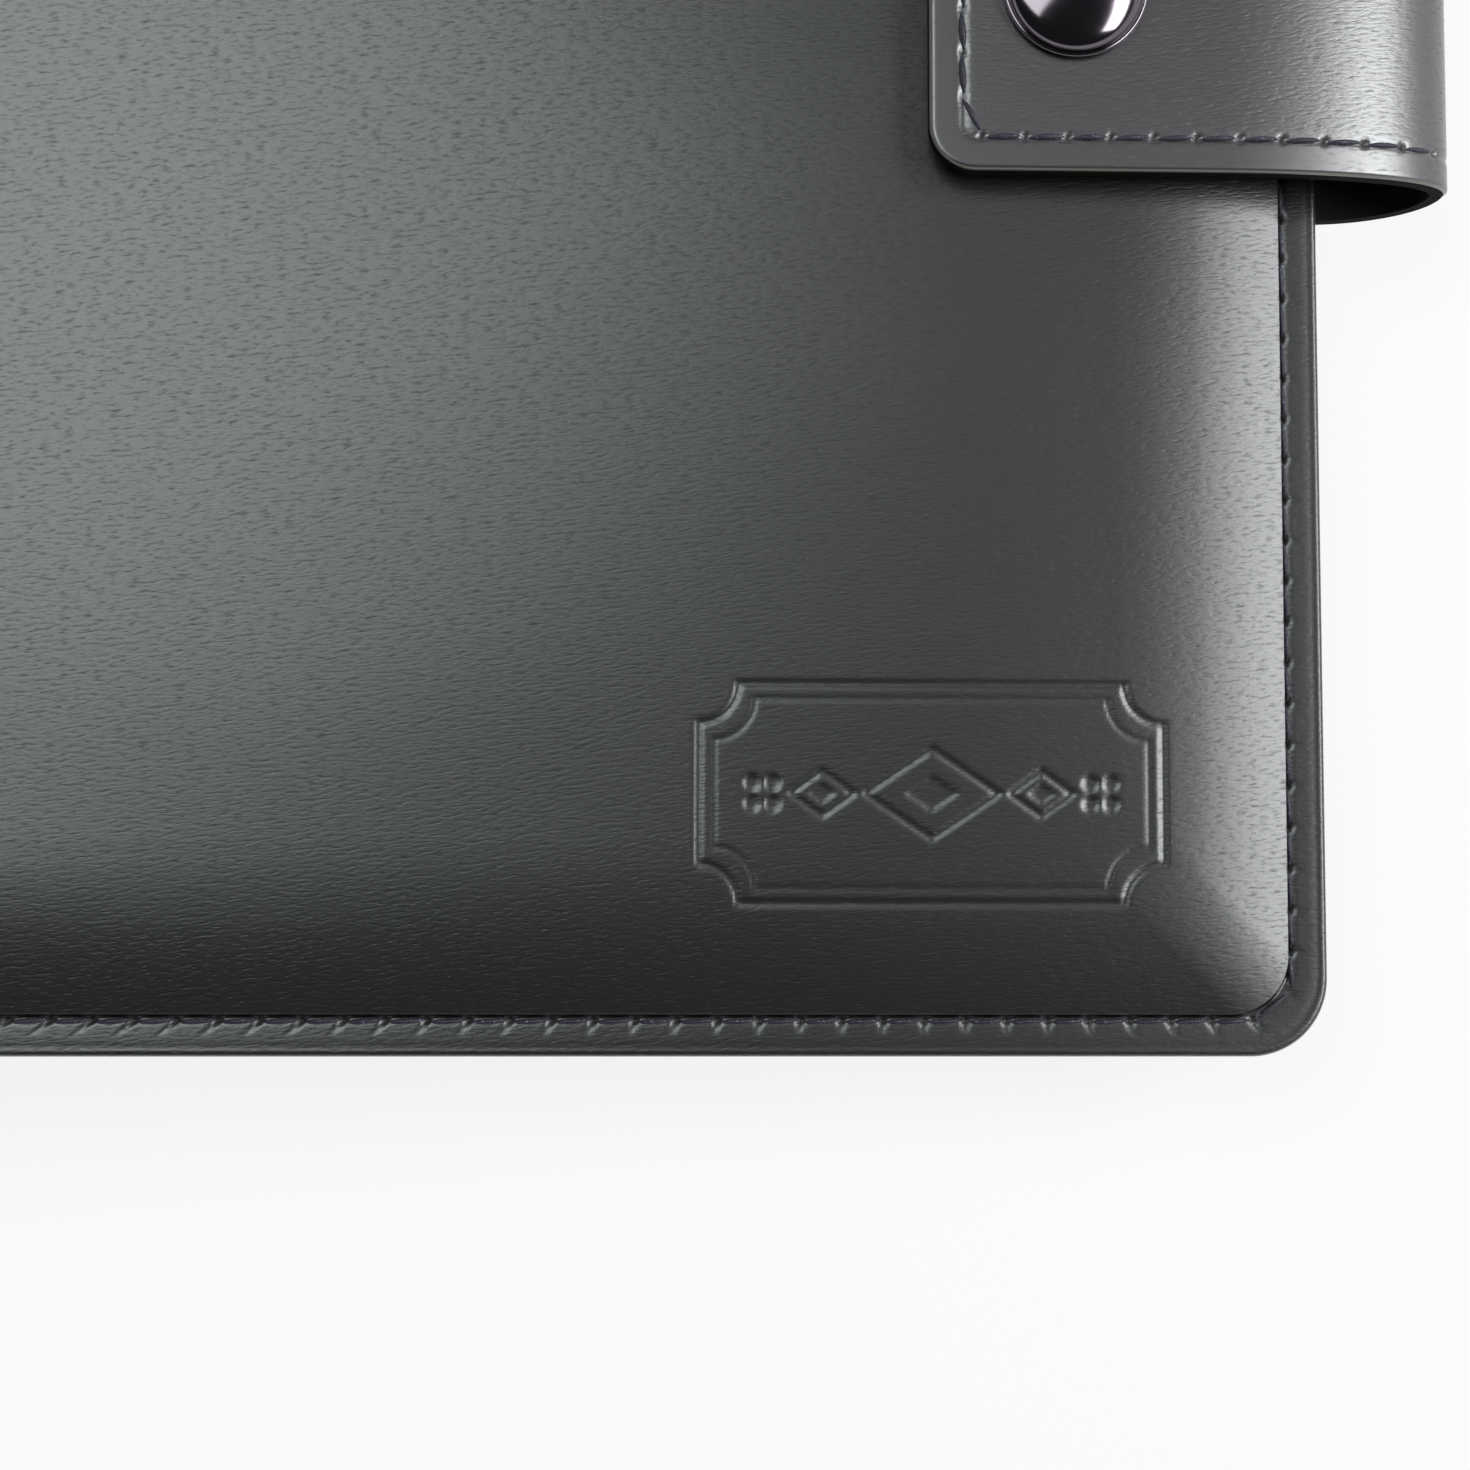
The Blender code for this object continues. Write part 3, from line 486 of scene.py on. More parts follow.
def board_finish():
    """Grey board: pulp flecks and a soft mottle."""
    finish = Finish("grey_board", (0.33, 0.30, 0.26), 0.9)
    place = finish.place()
    mottle = finish.noise(place, 160, 3)
    fleck_and_glint = ((finish.noise(place, 1400, 2) - 0.62) * 8).clamped()
    ground = finish.mix(mottle, (0.27, 0.245, 0.21, 1), (0.40, 0.37, 0.32, 1))
    finish.set("Base Color", finish.mix(fleck_and_glint, ground, (0.16, 0.14, 0.12, 1)))
    finish.bump(finish.noise(place, 2200, 2), 0.00006)
    return finish.material


def foam_finish():
    """Open-cell foam sheet: pale, with dark cells."""
    finish = Finish("foam_sheet", (0.55, 0.55, 0.54), 0.95)
    cells = finish.node("ShaderNodeTexVoronoi", None, {"Vector": finish.place(), "Scale": 1500.0})
    pale, dark = (0.62, 0.62, 0.60, 1), (0.36, 0.36, 0.35, 1)
    finish.set("Base Color", finish.mix((cells * 1.6).clamped(), pale, dark))
    finish.bump(cells, 0.0002)
    return finish.material


def nickel_finish(name, colour, roughness, brushed=0.0, haze=0.04):
    """Nickel plate: faint polishing marks along its length and a cloudy film that dulls it in places."""
    finish = Finish(name, colour, roughness, 1.0)
    place = finish.place()
    cloud = finish.noise(place, 70, 3)
    x, y, z = [finish.node("ShaderNodeSeparateXYZ", None, {0: place}, axis) for axis in range(3)]
    marks = finish.noise(finish.vector(x * 9000, y * 120, z * 9000), detail=2)
    finish.set("Roughness", roughness + cloud * haze + marks * brushed)
    finish.set("Base Color", finish.mix(
        cloud, colour_of(colour, 0.88), colour_of([min(1, channel * 1.08) for channel in colour])))
    if brushed:
        finish.bump(marks, 0.000004, 0.5)
    return finish.material


def make_looks():
    """One finish for each of the folder's materials."""
    tint = colours()
    black = tuple(tint.leather)
    looks.update(
        leather=leather_finish("cover_leatherette", black),
        spine=leather_finish("spine_leatherette", black, 0.38),
        strap=leather_finish("strap_leatherette", tuple(tint.strap), 0.33, 0.8, 1.25, 1.0, True),
        strap_back=leather_finish("strap_lining_leatherette", black, 0.55, 0.8, 0.5, 0.0),
        edge=edge_finish("cut_edge", (0.004, 0.004, 0.004)),
        thread=thread_finish(),
        cloth=cloth_finish("lining_cloth", tuple(tint.cloth)),
        board=board_finish(),
        foam=foam_finish(),
        dark_nickel=nickel_finish("black_nickel", tint.dark_nickel, 0.10),
        bright_nickel=nickel_finish("bright_nickel", tint.bright_nickel, 0.16, 0.10, 0.08),
    )


def deselect():
    if bpy.context.object and bpy.context.object.mode != "OBJECT":
        bpy.ops.object.mode_set(mode="OBJECT")
    bpy.ops.object.select_all(action="DESELECT")


def activate(piece):
    deselect()
    piece.select_set(True)
    bpy.context.view_layer.objects.active = piece


def mesh_piece(name, points, faces, look, spread=None):
    """A piece of given points and faces, with its normals made to point out and an own UV map in metres."""
    mesh = bpy.data.meshes.new(name)
    mesh.from_pydata([tuple(point) for point in points], [], faces)
    if spread is not None:
        layer = mesh.uv_layers.new(name="spread")
        corners = np.zeros(len(mesh.loops), np.int32)
        mesh.loops.foreach_get("vertex_index", corners)
        layer.data.foreach_set("uv", np.asarray(spread, np.float32)[corners].ravel())
    shell = bmesh.new()
    shell.from_mesh(mesh)
    bmesh.ops.recalc_face_normals(shell, faces=shell.faces)
    shell.to_mesh(mesh)
    shell.free()
    mesh.shade_smooth()
    mesh.materials.append(look)
    piece = bpy.data.objects.new(name, mesh)
    bpy.context.collection.objects.link(piece)
    return piece


def point_values(piece, name, values):
    """A number for each point of a piece, for its material to read."""
    layer = piece.data.attributes.new(name, "FLOAT", "POINT")
    layer.data.foreach_set("value", np.asarray(values, np.float32))


def in_frame(matrix, points):
    """Points of a local frame, moved to the folder's."""
    turn = np.array(matrix, float)
    return np.asarray(points, float) @ turn[:3, :3].T + turn[:3, 3]


def spaced(*stops):
    """Positions from the first stop on: each further stop is an end and the step used to reach it."""
    places = [stops[0]]
    for end, step in stops[1:]:
        count = max(1, round((end - places[-1]) / step))
        places.extend(np.linspace(places[-1], end, count + 1)[1:])
    return np.array(places)


def side_shares(step):
    """Shares of a side between its two corners, a step apart."""
    return spaced(0, (1, step))[1:-1]


def groove(distance, half):
    """Share of a pressed line's depth that is left at a distance from its middle."""
    return np.exp(-((distance / half) ** 2))


def edge_drop(distance, radius):
    """How far a face falls away near an edge that is rounded over."""
    inside = np.clip(radius - distance, 0, radius)
    return radius - np.sqrt(radius**2 - inside**2)


def grid_faces(rows, columns):
    """Quads of a grid of points."""
    return [(row * columns + i, row * columns + i + 1, (row + 1) * columns + i + 1, (row + 1) * columns + i)
            for row in range(rows - 1) for i in range(columns - 1)]


def grid_border(rows, columns):
    """A grid's border points, in order round it from its first."""
    border = list(range(columns)) + [row * columns + columns - 1 for row in range(1, rows)]
    border += [(rows - 1) * columns + i for i in range(columns - 2, -1, -1)]
    return border + [row * columns for row in range(rows - 2, 0, -1)]


def sheet_faces(rows, columns):
    """Faces of a closed sheet: an outer and an inner grid of points, and the wall between their borders."""
    size = rows * columns
    faces = []
    for quad in grid_faces(rows, columns):
        faces += [quad, tuple(size + corner for corner in reversed(quad))]
    border = grid_border(rows, columns)
    for here, there in zip(border, border[1:] + border[:1]):
        faces.append((here, there, size + there, size + here))
    return faces


def quarter_angles(cells):
    """Angles at which a corner square's outer cells meet the quarter circle that it's drawn in to."""
    share = np.linspace(0, 1, cells + 1)
    rise = np.arctan2(share / math.sqrt(2), np.sqrt(1 - share**2 / 2))
    return np.concatenate([rise, math.pi / 2 - rise[-2::-1]])


class Perimeter:
    """How the points of every ring round a cover are shared out over its corners and sides."""

    def __init__(self, corner, across, along):
        self.corner = corner
        self.sides = (along, (1 - across)[::-1], (1 - along)[::-1], across)
        keys = []
        for i, side in enumerate(self.sides):
            keys.append(2 * i + corner / (math.pi / 2))
            keys.append(2 * i + 1 + side)
        self.keys = np.concatenate(keys)

    def ring(self, inset, fore_radius, spine_radius):
        """A rounded rectangle set in from the cover's edge, from the fore-edge's tail corner round."""
        low, high = inset, COVER_WIDTH - inset
        side = HALF_HEIGHT - inset
        corners = (
            (high, -side, fore_radius, -90),
            (high, side, fore_radius, 0),
            (low, side, spine_radius, 90),
            (low, -side, spine_radius, 180),
        )
        arcs = []
        for x, y, radius, start in corners:
            turn = math.radians(start) + self.corner
            centre_x = x - math.copysign(radius, x - COVER_WIDTH / 2)
            centre_y = y - math.copysign(radius, y)
            arcs.append(np.column_stack([
                centre_x + radius * np.cos(turn), centre_y + radius * np.sin(turn)]))
        parts = []
        for i, shares in enumerate(self.sides):
            share = shares[:, None]
            parts.append(arcs[i])
            parts.append(arcs[i][-1] * (1 - share) + arcs[(i + 1) % 4][0] * share)
        return np.concatenate(parts)


def stacked_rings(corner_cells, side_step, section, radii):
    """Points and faces of a closed shell through rings of given insets and heights."""
    perimeter = Perimeter(quarter_angles(corner_cells), side_shares(side_step), side_shares(side_step))
    size = len(perimeter.keys)
    points, faces = [], []
    for row, (inset, height) in enumerate(section):
        points.append(np.column_stack([perimeter.ring(inset, *radii), np.full(size, height)]))
        if row:
            base = row * size
            faces += [(base - size + (i - 1) % size, base - size + i, base + i, base + (i - 1) % size)
                      for i in range(size)]
    last = (len(section) - 1) * size
    faces += [tuple(range(size)), tuple(range(last, last + size))]
    return np.concatenate(points), faces


def corner_radii(inset):
    """Corner radii of a ring: the seam turns wider than the edge, and the pad keeps its own round."""
    if inset < SEAM_FROM_FORE:
        share = inset / SEAM_FROM_FORE
        fore = CORNER_RADIUS + (SEAM_CORNER_RADIUS - CORNER_RADIUS) * share
        spine = SPINE_CORNER_RADIUS + (PAD_CORNER - SPINE_CORNER_RADIUS) * max(0, share - 0.5)
        return fore, spine
    share = min(1, (inset - SEAM_FROM_FORE) / PAD_SLOPE * 3)
    fore = SEAM_CORNER_RADIUS + (PAD_CORNER - SEAM_CORNER_RADIUS) * share
    spine_start = SPINE_CORNER_RADIUS + (PAD_CORNER - SPINE_CORNER_RADIUS) * 0.5
    return fore, spine_start + (PAD_CORNER - spine_start) * share


def shoulder_height(inset):
    """Height of the padded face from the seam in: a wall where it is sewn down, then a long soft shoulder."""
    share = np.clip((inset - PAD_START) / PAD_SLOPE, 0, 1)
    return FLANGE_TOP + PAD_STEP + (PAD_TOP - FLANGE_TOP - PAD_STEP) * (1 - (1 - share) ** SHOULDER_POWER)


def skin_height(inset):
    """Height of a cover's outer face: rounded edge, flange with its creased line, seam groove, shoulder."""
    if inset >= PAD_START:
        return float(shoulder_height(inset))
    height = FLANGE_TOP + FLANGE_LIFT * max(0, 1 - inset / SEAM_FROM_FORE) - edge_drop(inset, EDGE_ROUND)
    height -= EDGE_LINE_DEPTH * groove(inset - EDGE_LINE, EDGE_LINE_HALF)
    height -= SEAM_GROOVE_DEPTH * groove(inset - SEAM_FROM_FORE, SEAM_GROOVE_HALF)
    return height + PAD_STEP * max(0, (inset - PAD_START) / STEP_WIDTH + 1)


def rounded_inset(x, y):
    """How far in from the cover's edge each place lies, along rings that keep the pad's corner radius."""
    from_x, from_y = np.minimum(x, COVER_WIDTH - x), HALF_HEIGHT - np.abs(y)
    mean, lean = (from_x + from_y) / 2, (from_x - from_y) / 2
    in_corner = np.abs(lean) < PAD_CORNER / 2
    round_corner = mean - PAD_CORNER + np.sqrt(np.maximum(PAD_CORNER**2 / 2 - lean**2, 0))
    return np.where(in_corner, round_corner, np.minimum(from_x, from_y))


def zip_rings(first, second, first_keys, second_keys):
    """Triangles between two closed rings of unlike counts that start at the same corner."""
    faces = []
    i = j = 0
    end = 8.0
    while i < len(first) or j < len(second):
        next_first = first_keys[i + 1] if i + 1 < len(first) else end
        next_second = second_keys[j + 1] if j + 1 < len(second) else end
        here, there = first[i % len(first)], second[j % len(second)]
        if j == len(second) or (i < len(first) and next_first <= next_second):
            faces.append((here, first[(i + 1) % len(first)], there))
            i += 1
        else:
            faces.append((here, second[(j + 1) % len(second)], there))
            j += 1
    return faces


def even_stitches(start, end, pitch=None):
    """Holes from one place towards another, about a stitch apart, the last one left to the next run."""
    start, end = np.array(start), np.array(end)
    count = max(1, round(np.linalg.norm(end - start) / (pitch or sizes().stitch)))
    share = np.arange(count)[:, None] / count
    return start * (1 - share) + end * share


def cover_seam_holes():
    """Needle holes round a cover. One stitch cuts across each corner at the fore-edge."""
    fore, spine = COVER_WIDTH - SEAM_FROM_FORE, SEAM_FROM_SPINE
    side = HALF_HEIGHT - SEAM_FROM_TAIL
    turn_x, turn_y = COVER_WIDTH - SEAM_TURN_TAIL, HALF_HEIGHT - SEAM_TURN_FORE
    corners = (
        (fore, -turn_y), (fore, turn_y), (turn_x, side), (spine, side), (spine, -side), (turn_x, -side))
    runs = [even_stitches(start, end) for start, end in zip(corners, corners[1:] + corners[:1])]
    return np.concatenate(runs)


def dimples(places, holes, scale=1.0):
    """How far each place is pressed in, as a share, by the slanted needle holes near it."""
    pressed = np.zeros(len(places))
    lean_x, lean_y = math.cos(HOLE_SLANT), math.sin(HOLE_SLANT)
    for hole in holes:
        x, y = places[:, 0] - hole[0], places[:, 1] - hole[1]
        near = np.flatnonzero(np.abs(x) + np.abs(y) < 4 * HOLE_LONG)
        x, y = x[near], y[near]
        long = (x * lean_x + y * lean_y) / (HOLE_LONG * scale)
        short = (y * lean_x - x * lean_y) / (HOLE_SHORT * scale)
        pressed[near] = np.maximum(pressed[near], np.exp(-(long**2) - short**2))
    return pressed


def line_press(distance):
    """Depth left by a tooling wheel whose line lies at a distance."""
    return ORNAMENT_DEPTH * groove(distance, ORNAMENT_LINE)


def box_distance(x, y, half_x, half_y, radius):
    """Signed distance to a rectangle with hollow corners of a radius."""
    outside = np.hypot(np.maximum(np.abs(x) - half_x, 0), np.maximum(np.abs(y) - half_y, 0))
    inside = np.minimum(np.maximum(np.abs(x) - half_x, np.abs(y) - half_y), 0)
    scoop = radius - np.hypot(np.abs(x) - half_x, np.abs(y) - half_y)
    return np.maximum(outside + inside, scoop)


def lozenge_distance(x, y, half_x, half_y):
    lean = math.hypot(half_x, half_y)
    return (np.abs(x) * half_y + np.abs(y) * half_x - half_x * half_y) / lean


def ornament_press(x, y):
    """A blind-tooled panel: a double line with hollow corners round lozenges and groups of four dots."""
    half_x, half_y = (side / 2 for side in sizes().ornament)
    pressed = line_press(box_distance(x, y, half_x, half_y, HOLLOW_CORNER))
    inner = box_distance(x, y, half_x - INNER_FRAME_INSET, half_y - INNER_FRAME_INSET, INNER_HOLLOW_CORNER)
    pressed = np.maximum(pressed, 0.6 * line_press(inner * 1.5))
    for centre, wide, high in LOZENGES:
        shape = lozenge_distance(x - centre, y, wide, high)
        pressed = np.maximum(pressed, line_press(shape))
        pressed = np.maximum(pressed, 0.8 * line_press(np.maximum(shape + high * 0.55, 0)))
    for centre in DOT_PLACES:
        dots = np.hypot(np.abs(x - centre) - DOT_REACH, np.abs(y) - DOT_REACH) - DOT_RADIUS
        pressed = np.maximum(pressed, line_press(np.maximum(dots, 0)))
    return pressed


def waves(x, y):
    """Slow unevenness of the padded leather."""
    swell = np.sin(x / 0.0117 + 0.4) * np.sin(y / 0.0083 + 1.1)
    swell += 0.7 * np.sin((x + y) / 0.0151 + 2.0) + 0.5 * np.sin((x - 1.6 * y) / 0.0098)
    return WAVE_HEIGHT * swell / 2.2


def plateau_height(x, y, crown, ornament):
    """Height of the padded middle, which rises to its crown from the shoulders."""
    from_x = (np.minimum(x, COVER_WIDTH - x) - PLATEAU_INSET) / CROWN_REACH
    from_y = (HALF_HEIGHT - np.abs(y) - PLATEAU_INSET) / CROWN_REACH
    rise = 1.0
    for share in (np.clip(from_x, 0, 1), np.clip(from_y, 0, 1)):
        rise = rise * share * share * (3 - 2 * share)
    near_edge = np.clip(from_x * 4, 0, 1) * np.clip(from_y * 4, 0, 1)
    height = shoulder_height(rounded_inset(x, y)) + crown * rise + (waves(x, y) - WAVE_HEIGHT) * near_edge
    if ornament:
        height = height - ornament_press(x - ORNAMENT_X, y - ORNAMENT_Y)
    return height


def middle_grid(ornament, cells):
    """Lines of the padded middle's grid, close together where it's tooled."""
    start, end = PLATEAU_INSET, COVER_WIDTH - PLATEAU_INSET
    low, high = PLATEAU_INSET - HALF_HEIGHT, HALF_HEIGHT - PLATEAU_INSET
    cell = PAD_CORNER / cells
    across, along = [start, (start + PAD_CORNER, cell)], [low, (low + PAD_CORNER, cell)]
    if ornament:
        half_x, half_y = (side / 2 + TOOLED_MARGIN for side in sizes().ornament)
        first, last = max(ORNAMENT_X - half_x, across[-1][0]), min(ORNAMENT_X + half_x, end - PAD_CORNER)
        across += [(first, PLAIN_STEP), (last, TOOLED_STEP)]
        bottom = max(ORNAMENT_Y - half_y, along[-1][0])
        along += [(bottom, TOOLED_STEP), (ORNAMENT_Y + half_y, TOOLED_STEP)]
    across += [(end - PAD_CORNER, PLAIN_STEP), (end, cell)]
    along += [(high - PAD_CORNER, PLAIN_STEP), (high, cell)]
    return np.unique(np.round(spaced(*across), 7)), np.unique(np.round(spaced(*along), 7))


def drawn_in(x, y):
    """The grid's square corners drawn in to quarter circles of the pad's round."""
    middle_x, half_x = COVER_WIDTH / 2, COVER_WIDTH / 2 - PLATEAU_INSET - PAD_CORNER
    half_y = HALF_HEIGHT - PLATEAU_INSET - PAD_CORNER
    a = np.clip((np.abs(x - middle_x) - half_x) / PAD_CORNER, 0, 1)
    b = np.clip((np.abs(y) - half_y) / PAD_CORNER, 0, 1)
    round_x = np.sign(x - middle_x) * (half_x + PAD_CORNER * a * np.sqrt(1 - b**2 / 2)) + middle_x
    round_y = np.sign(y) * (half_y + PAD_CORNER * b * np.sqrt(1 - a**2 / 2))
    return np.where(a > 0, round_x, x), np.where(b > 0, round_y, y)


def make_cover_skin(side, cover_frame, body, crown, ornament):
    """The padded skin of a cover: a closed shell with its seam groove, needle holes and tooling."""
    cells = TOOLED_CORNER_CELLS if ornament else CORNER_CELLS
    step = BAND_STEP if ornament else COARSE_BAND_STEP
    lines_x, lines_y = middle_grid(ornament, cells)
    columns, rows = len(lines_x), len(lines_y)
    grid_x, grid_y = np.meshgrid(lines_x, lines_y)
    x, y = drawn_in(grid_x.ravel(), grid_y.ravel())
    points = [np.column_stack([x, y, plateau_height(x, y, crown, ornament)])]
    faces = grid_faces(rows, columns)
    border = grid_border(rows, columns)
    turn = columns - 1 - cells

    def shares(lines):
        straight = lines[cells:len(lines) - cells]
        return ((straight - straight[0]) / (straight[-1] - straight[0]))[1:-1]

    wide = Perimeter(quarter_angles(cells), shares(lines_x), shares(lines_y))
    fine = Perimeter(
        quarter_angles(BAND_CORNER_CELLS),
        side_shares(step / COVER_WIDTH),
        side_shares(step / HALF_HEIGHT / 2),
    )
    coarse = Perimeter(quarter_angles(2), side_shares(0.1), side_shares(0.1))
    holes = cover_seam_holes()
    count = len(x)
    hole_shares = [np.zeros(count)]
    last, last_keys = border[turn:] + border[:turn], wide.keys

    def add_ring(perimeter, inset, height, pressed=False):
        nonlocal count, last, last_keys
        flat = perimeter.ring(inset, *corner_radii(inset))
        share = dimples(flat, holes) if pressed else np.zeros(len(flat))
        hole_shares.append(share)
        points.append(np.column_stack([flat, height - HOLE_DEPTH * share]))
        ring = list(range(count, count + len(flat)))
        if len(ring) == len(last):
            faces.extend((last[i - 1], last[i], ring[i], ring[i - 1]) for i in range(len(ring)))
        else:
            faces.extend(zip_rings(last, ring, last_keys, perimeter.keys))
        count += len(flat)
        last, last_keys = ring, perimeter.keys

    for inset in TOP_INSETS:
        add_ring(wide, inset, skin_height(inset))
    for inset in BAND_INSETS:
        near_seam = abs(inset - SEAM_FROM_FORE) < 2 * HOLE_LONG
        add_ring(fine, inset, skin_height(inset), near_seam)
    under = LINING + UNDERSIDE_GAP
    add_ring(fine, 0.0, under + EDGE_ROUND / 2)
    add_ring(fine, EDGE_ROUND / 2, under)
    add_ring(coarse, PAD_START, under)
    for inset in UNDERSIDE_INSETS:
        add_ring(coarse, inset + SKIN * 0.6, max(under, skin_height(inset) - SKIN))
    faces.append(tuple(last))

    flat_points = np.concatenate(points)
    spread = flat_points[:, :2] * (1, 1 if side == "front" else -1)
    piece = mesh_piece(
        f"{side}_cover_leather", in_frame(cover_frame, flat_points), faces, looks["leather"], spread)
    point_values(piece, "hole", np.concatenate(hole_shares))
    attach(piece, body)
    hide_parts(f"{side}_skin")


def make_foam(side, cover_frame, body):
    """The foam sheet under the skin: drawn down at its edge, slightly domed."""
    low = FOAM_LOW + FOAM_LIFT
    section = [(FOAM_INSET + 0.0004, low), (FOAM_INSET, low + 0.0002)]
    for inset in FOAM_RINGS:
        section.append((inset, min(FOAM_HIGH, skin_height(inset) - SKIN - FOAM_SLACK)))
    points, faces = stacked_rings(4, 0.02, section, (PAD_CORNER, PAD_CORNER))
    piece = mesh_piece(f"{side}_foam_sheet", in_frame(cover_frame, points), faces, looks["foam"])
    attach(piece, body)
    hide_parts(f"{side}_foam")


def strap_turns():
    """The loop's two quarter turns on the strap's outer face: ends and tangents, as world x and z."""
    start = FRONT_FRAME @ Vector((COVER_WIDTH - FLAP_OVERHANG, 0, STRAP_HIGH))
    start = Vector((start.x, start.z))
    end = Vector((COVER_WIDTH / 2 + ROOT_OVERHANG, INNER_FACE + LAYER_GAP))
    far = Vector((COVER_WIDTH / 2 + LOOP_REACH, (start.y + end.y) / 2))
    upper = (start, Vector((math.cos(TILT), -math.sin(TILT))), far, Vector((0, -1)))
    lower = (far, Vector((0, -1)), end, Vector((-1, 0)))
    return upper, lower


def quarter_turn(start, start_tangent, end, end_tangent, steps=40):
    reach_out = abs((end - start).dot(start_tangent)) * BEZIER_CIRCLE
    reach_in = abs((end - start).dot(end_tangent)) * BEZIER_CIRCLE
    handles = np.array([start, start + start_tangent * reach_out, end - end_tangent * reach_in, end])
    t = np.linspace(0, 1, steps + 1)[:, None]
    return ((1 - t) ** 3 * handles[0] + 3 * t * (1 - t) ** 2 * handles[1]
            + 3 * t * t * (1 - t) * handles[2] + t**3 * handles[3])


class Path:
    """A line of world x and z by its own length, with its inward side on the right of the way along it."""

    def __init__(self, line):
        self.line = np.asarray(line, float)
        steps = np.hypot(*np.diff(self.line, axis=0).T)
        self.far = np.concatenate([[0], np.cumsum(steps)])
        self.length = self.far[-1]

    def at(self, along):
        x, z = (np.interp(along, self.far, self.line[:, axis]) for axis in (0, 1))
        before, after = (np.clip(along + reach, 0, self.length) for reach in (-PATH_REACH, PATH_REACH))
        way = np.column_stack([
            np.interp(after, self.far, self.line[:, axis]) - np.interp(before, self.far, self.line[:, axis])
            for axis in (0, 1)])
        way /= np.linalg.norm(way, axis=1)[:, None]
        return x, z, way

    def place(self, along, across, height):
        """World points at a length along, a distance across and a height over the outer face."""
        x, z, way = self.at(along)
        return np.column_stack([x - way[:, 1] * height, across, z + way[:, 0] * height])


def end_distance(along, across, rounded_end):
    """Distance from a strap's edge, at its free end too where it has one."""
    from_side = STRAP_WIDTH / 2 - np.abs(across)
    if not rounded_end:
        return from_side
    in_x, in_y = STRAP_CORNER - along, STRAP_CORNER - from_side
    corner = STRAP_CORNER - np.hypot(in_x, in_y)
    return np.where((in_x > 0) & (in_y > 0), corner, np.minimum(along, from_side))


def strap_surface(distance):
    """Height of the strap's outer face by its distance from the edge: rounded over, then grooved."""
    pressed = STRAP_GROOVE_DEPTH * groove(distance - STRAP_SEAM, STRAP_GROOVE_HALF)
    return -edge_drop(distance, STRAP_EDGE_ROUND) - pressed


def make_strap_length(name, path, rounded_end, replaced, look, low, high, holes=()):
    """One leather layer of the strap, between two depths under its outer face."""
    half = STRAP_WIDTH / 2
    side = half - STRAP_CORNER
    coarse = 1 if len(holes) else BACKING_COARSENESS
    cell, step = STRAP_CORNER / STRAP_CORNER_CELLS * coarse, STRAP_STEP * coarse
    across = spaced(-half, (-side, cell), (side, step * 2), (half, cell))
    if rounded_end:
        along = spaced(0, (STRAP_CORNER, cell), (path.length, step))
    else:
        along = spaced(0, (path.length, step))
    rows, columns = len(along), len(across)
    s, y = (values.ravel() for values in np.meshgrid(along, across, indexing="ij"))
    if rounded_end:
        a = np.clip((STRAP_CORNER - s) / STRAP_CORNER, 0, 1)
        b = np.clip((np.abs(y) - side) / STRAP_CORNER, 0, 1)
        s = np.where(a > 0, STRAP_CORNER - STRAP_CORNER * a * np.sqrt(1 - b**2 / 2), s)
        y = np.where(b > 0, np.sign(y) * (side + STRAP_CORNER * b * np.sqrt(1 - a**2 / 2)), y)
    distance = end_distance(s, y, rounded_end)
    top = strap_surface(distance) if low == 0 else np.zeros(len(s))
    share = np.zeros(len(s))
    if low == 0 and len(holes):
        share = dimples(np.column_stack([s, y]), holes, STRAP_HOLE_SCALE)
        top = top - STRAP_HOLE_DEPTH * share
    outer = path.place(s, y, top - low)
    inner = path.place(s, y, np.full(len(s), -high))
    points = np.concatenate([outer, inner])
    spread = np.tile(np.column_stack([s, y]), (2, 1))
    piece = mesh_piece(name, points, sheet_faces(rows, columns), look, spread)
    piece.data.materials.append(looks["edge"])
    point_values(piece, "from_edge", np.tile(distance, 2))
    point_values(piece, "hole", np.concatenate([share, np.zeros(len(share))]))
    walls = 2 * (rows + columns) - 4
    for wall in piece.data.polygons[-walls:]:
        wall.material_index = 1
    piece.data.set_sharp_from_angle(angle=math.radians(50))
    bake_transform(piece)
    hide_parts(*replaced)


def lay_out_strap():
    """The strap's two lengths, which meet at the loop's far side."""
    upper, lower = strap_turns()
    first = FRONT_FRAME @ Vector((COVER_WIDTH - FLAP_LENGTH, 0, STRAP_HIGH))
    over = quarter_turn(*upper)
    under = quarter_turn(*lower)
    tab_end = (COVER_WIDTH / 2 - ROOT_TAB, under[-1][1])
    STRAP_PATHS["flap"] = Path(np.concatenate([[(first.x, first.z)], over]))
    STRAP_PATHS["root"] = Path(np.concatenate([under, [tab_end]]))


def strap_seam_holes():
    """Needle holes along the flap's sides and round its free end, one stitch across each corner."""
    side = STRAP_WIDTH / 2 - STRAP_SEAM
    far = STRAP_PATHS["flap"].length
    cut, low = STRAP_SEAM + STRAP_CUT_ALONG, side - STRAP_CUT_ACROSS
    runs = [
        even_stitches((far, -side), (cut, -side)),
        even_stitches((cut, -side), (STRAP_SEAM, -low)),
        even_stitches((STRAP_SEAM, -low), (STRAP_SEAM, low)),
        even_stitches((STRAP_SEAM, low), (cut, side)),
        even_stitches((cut, side), (far, side)),
    ]
    return np.concatenate(runs)


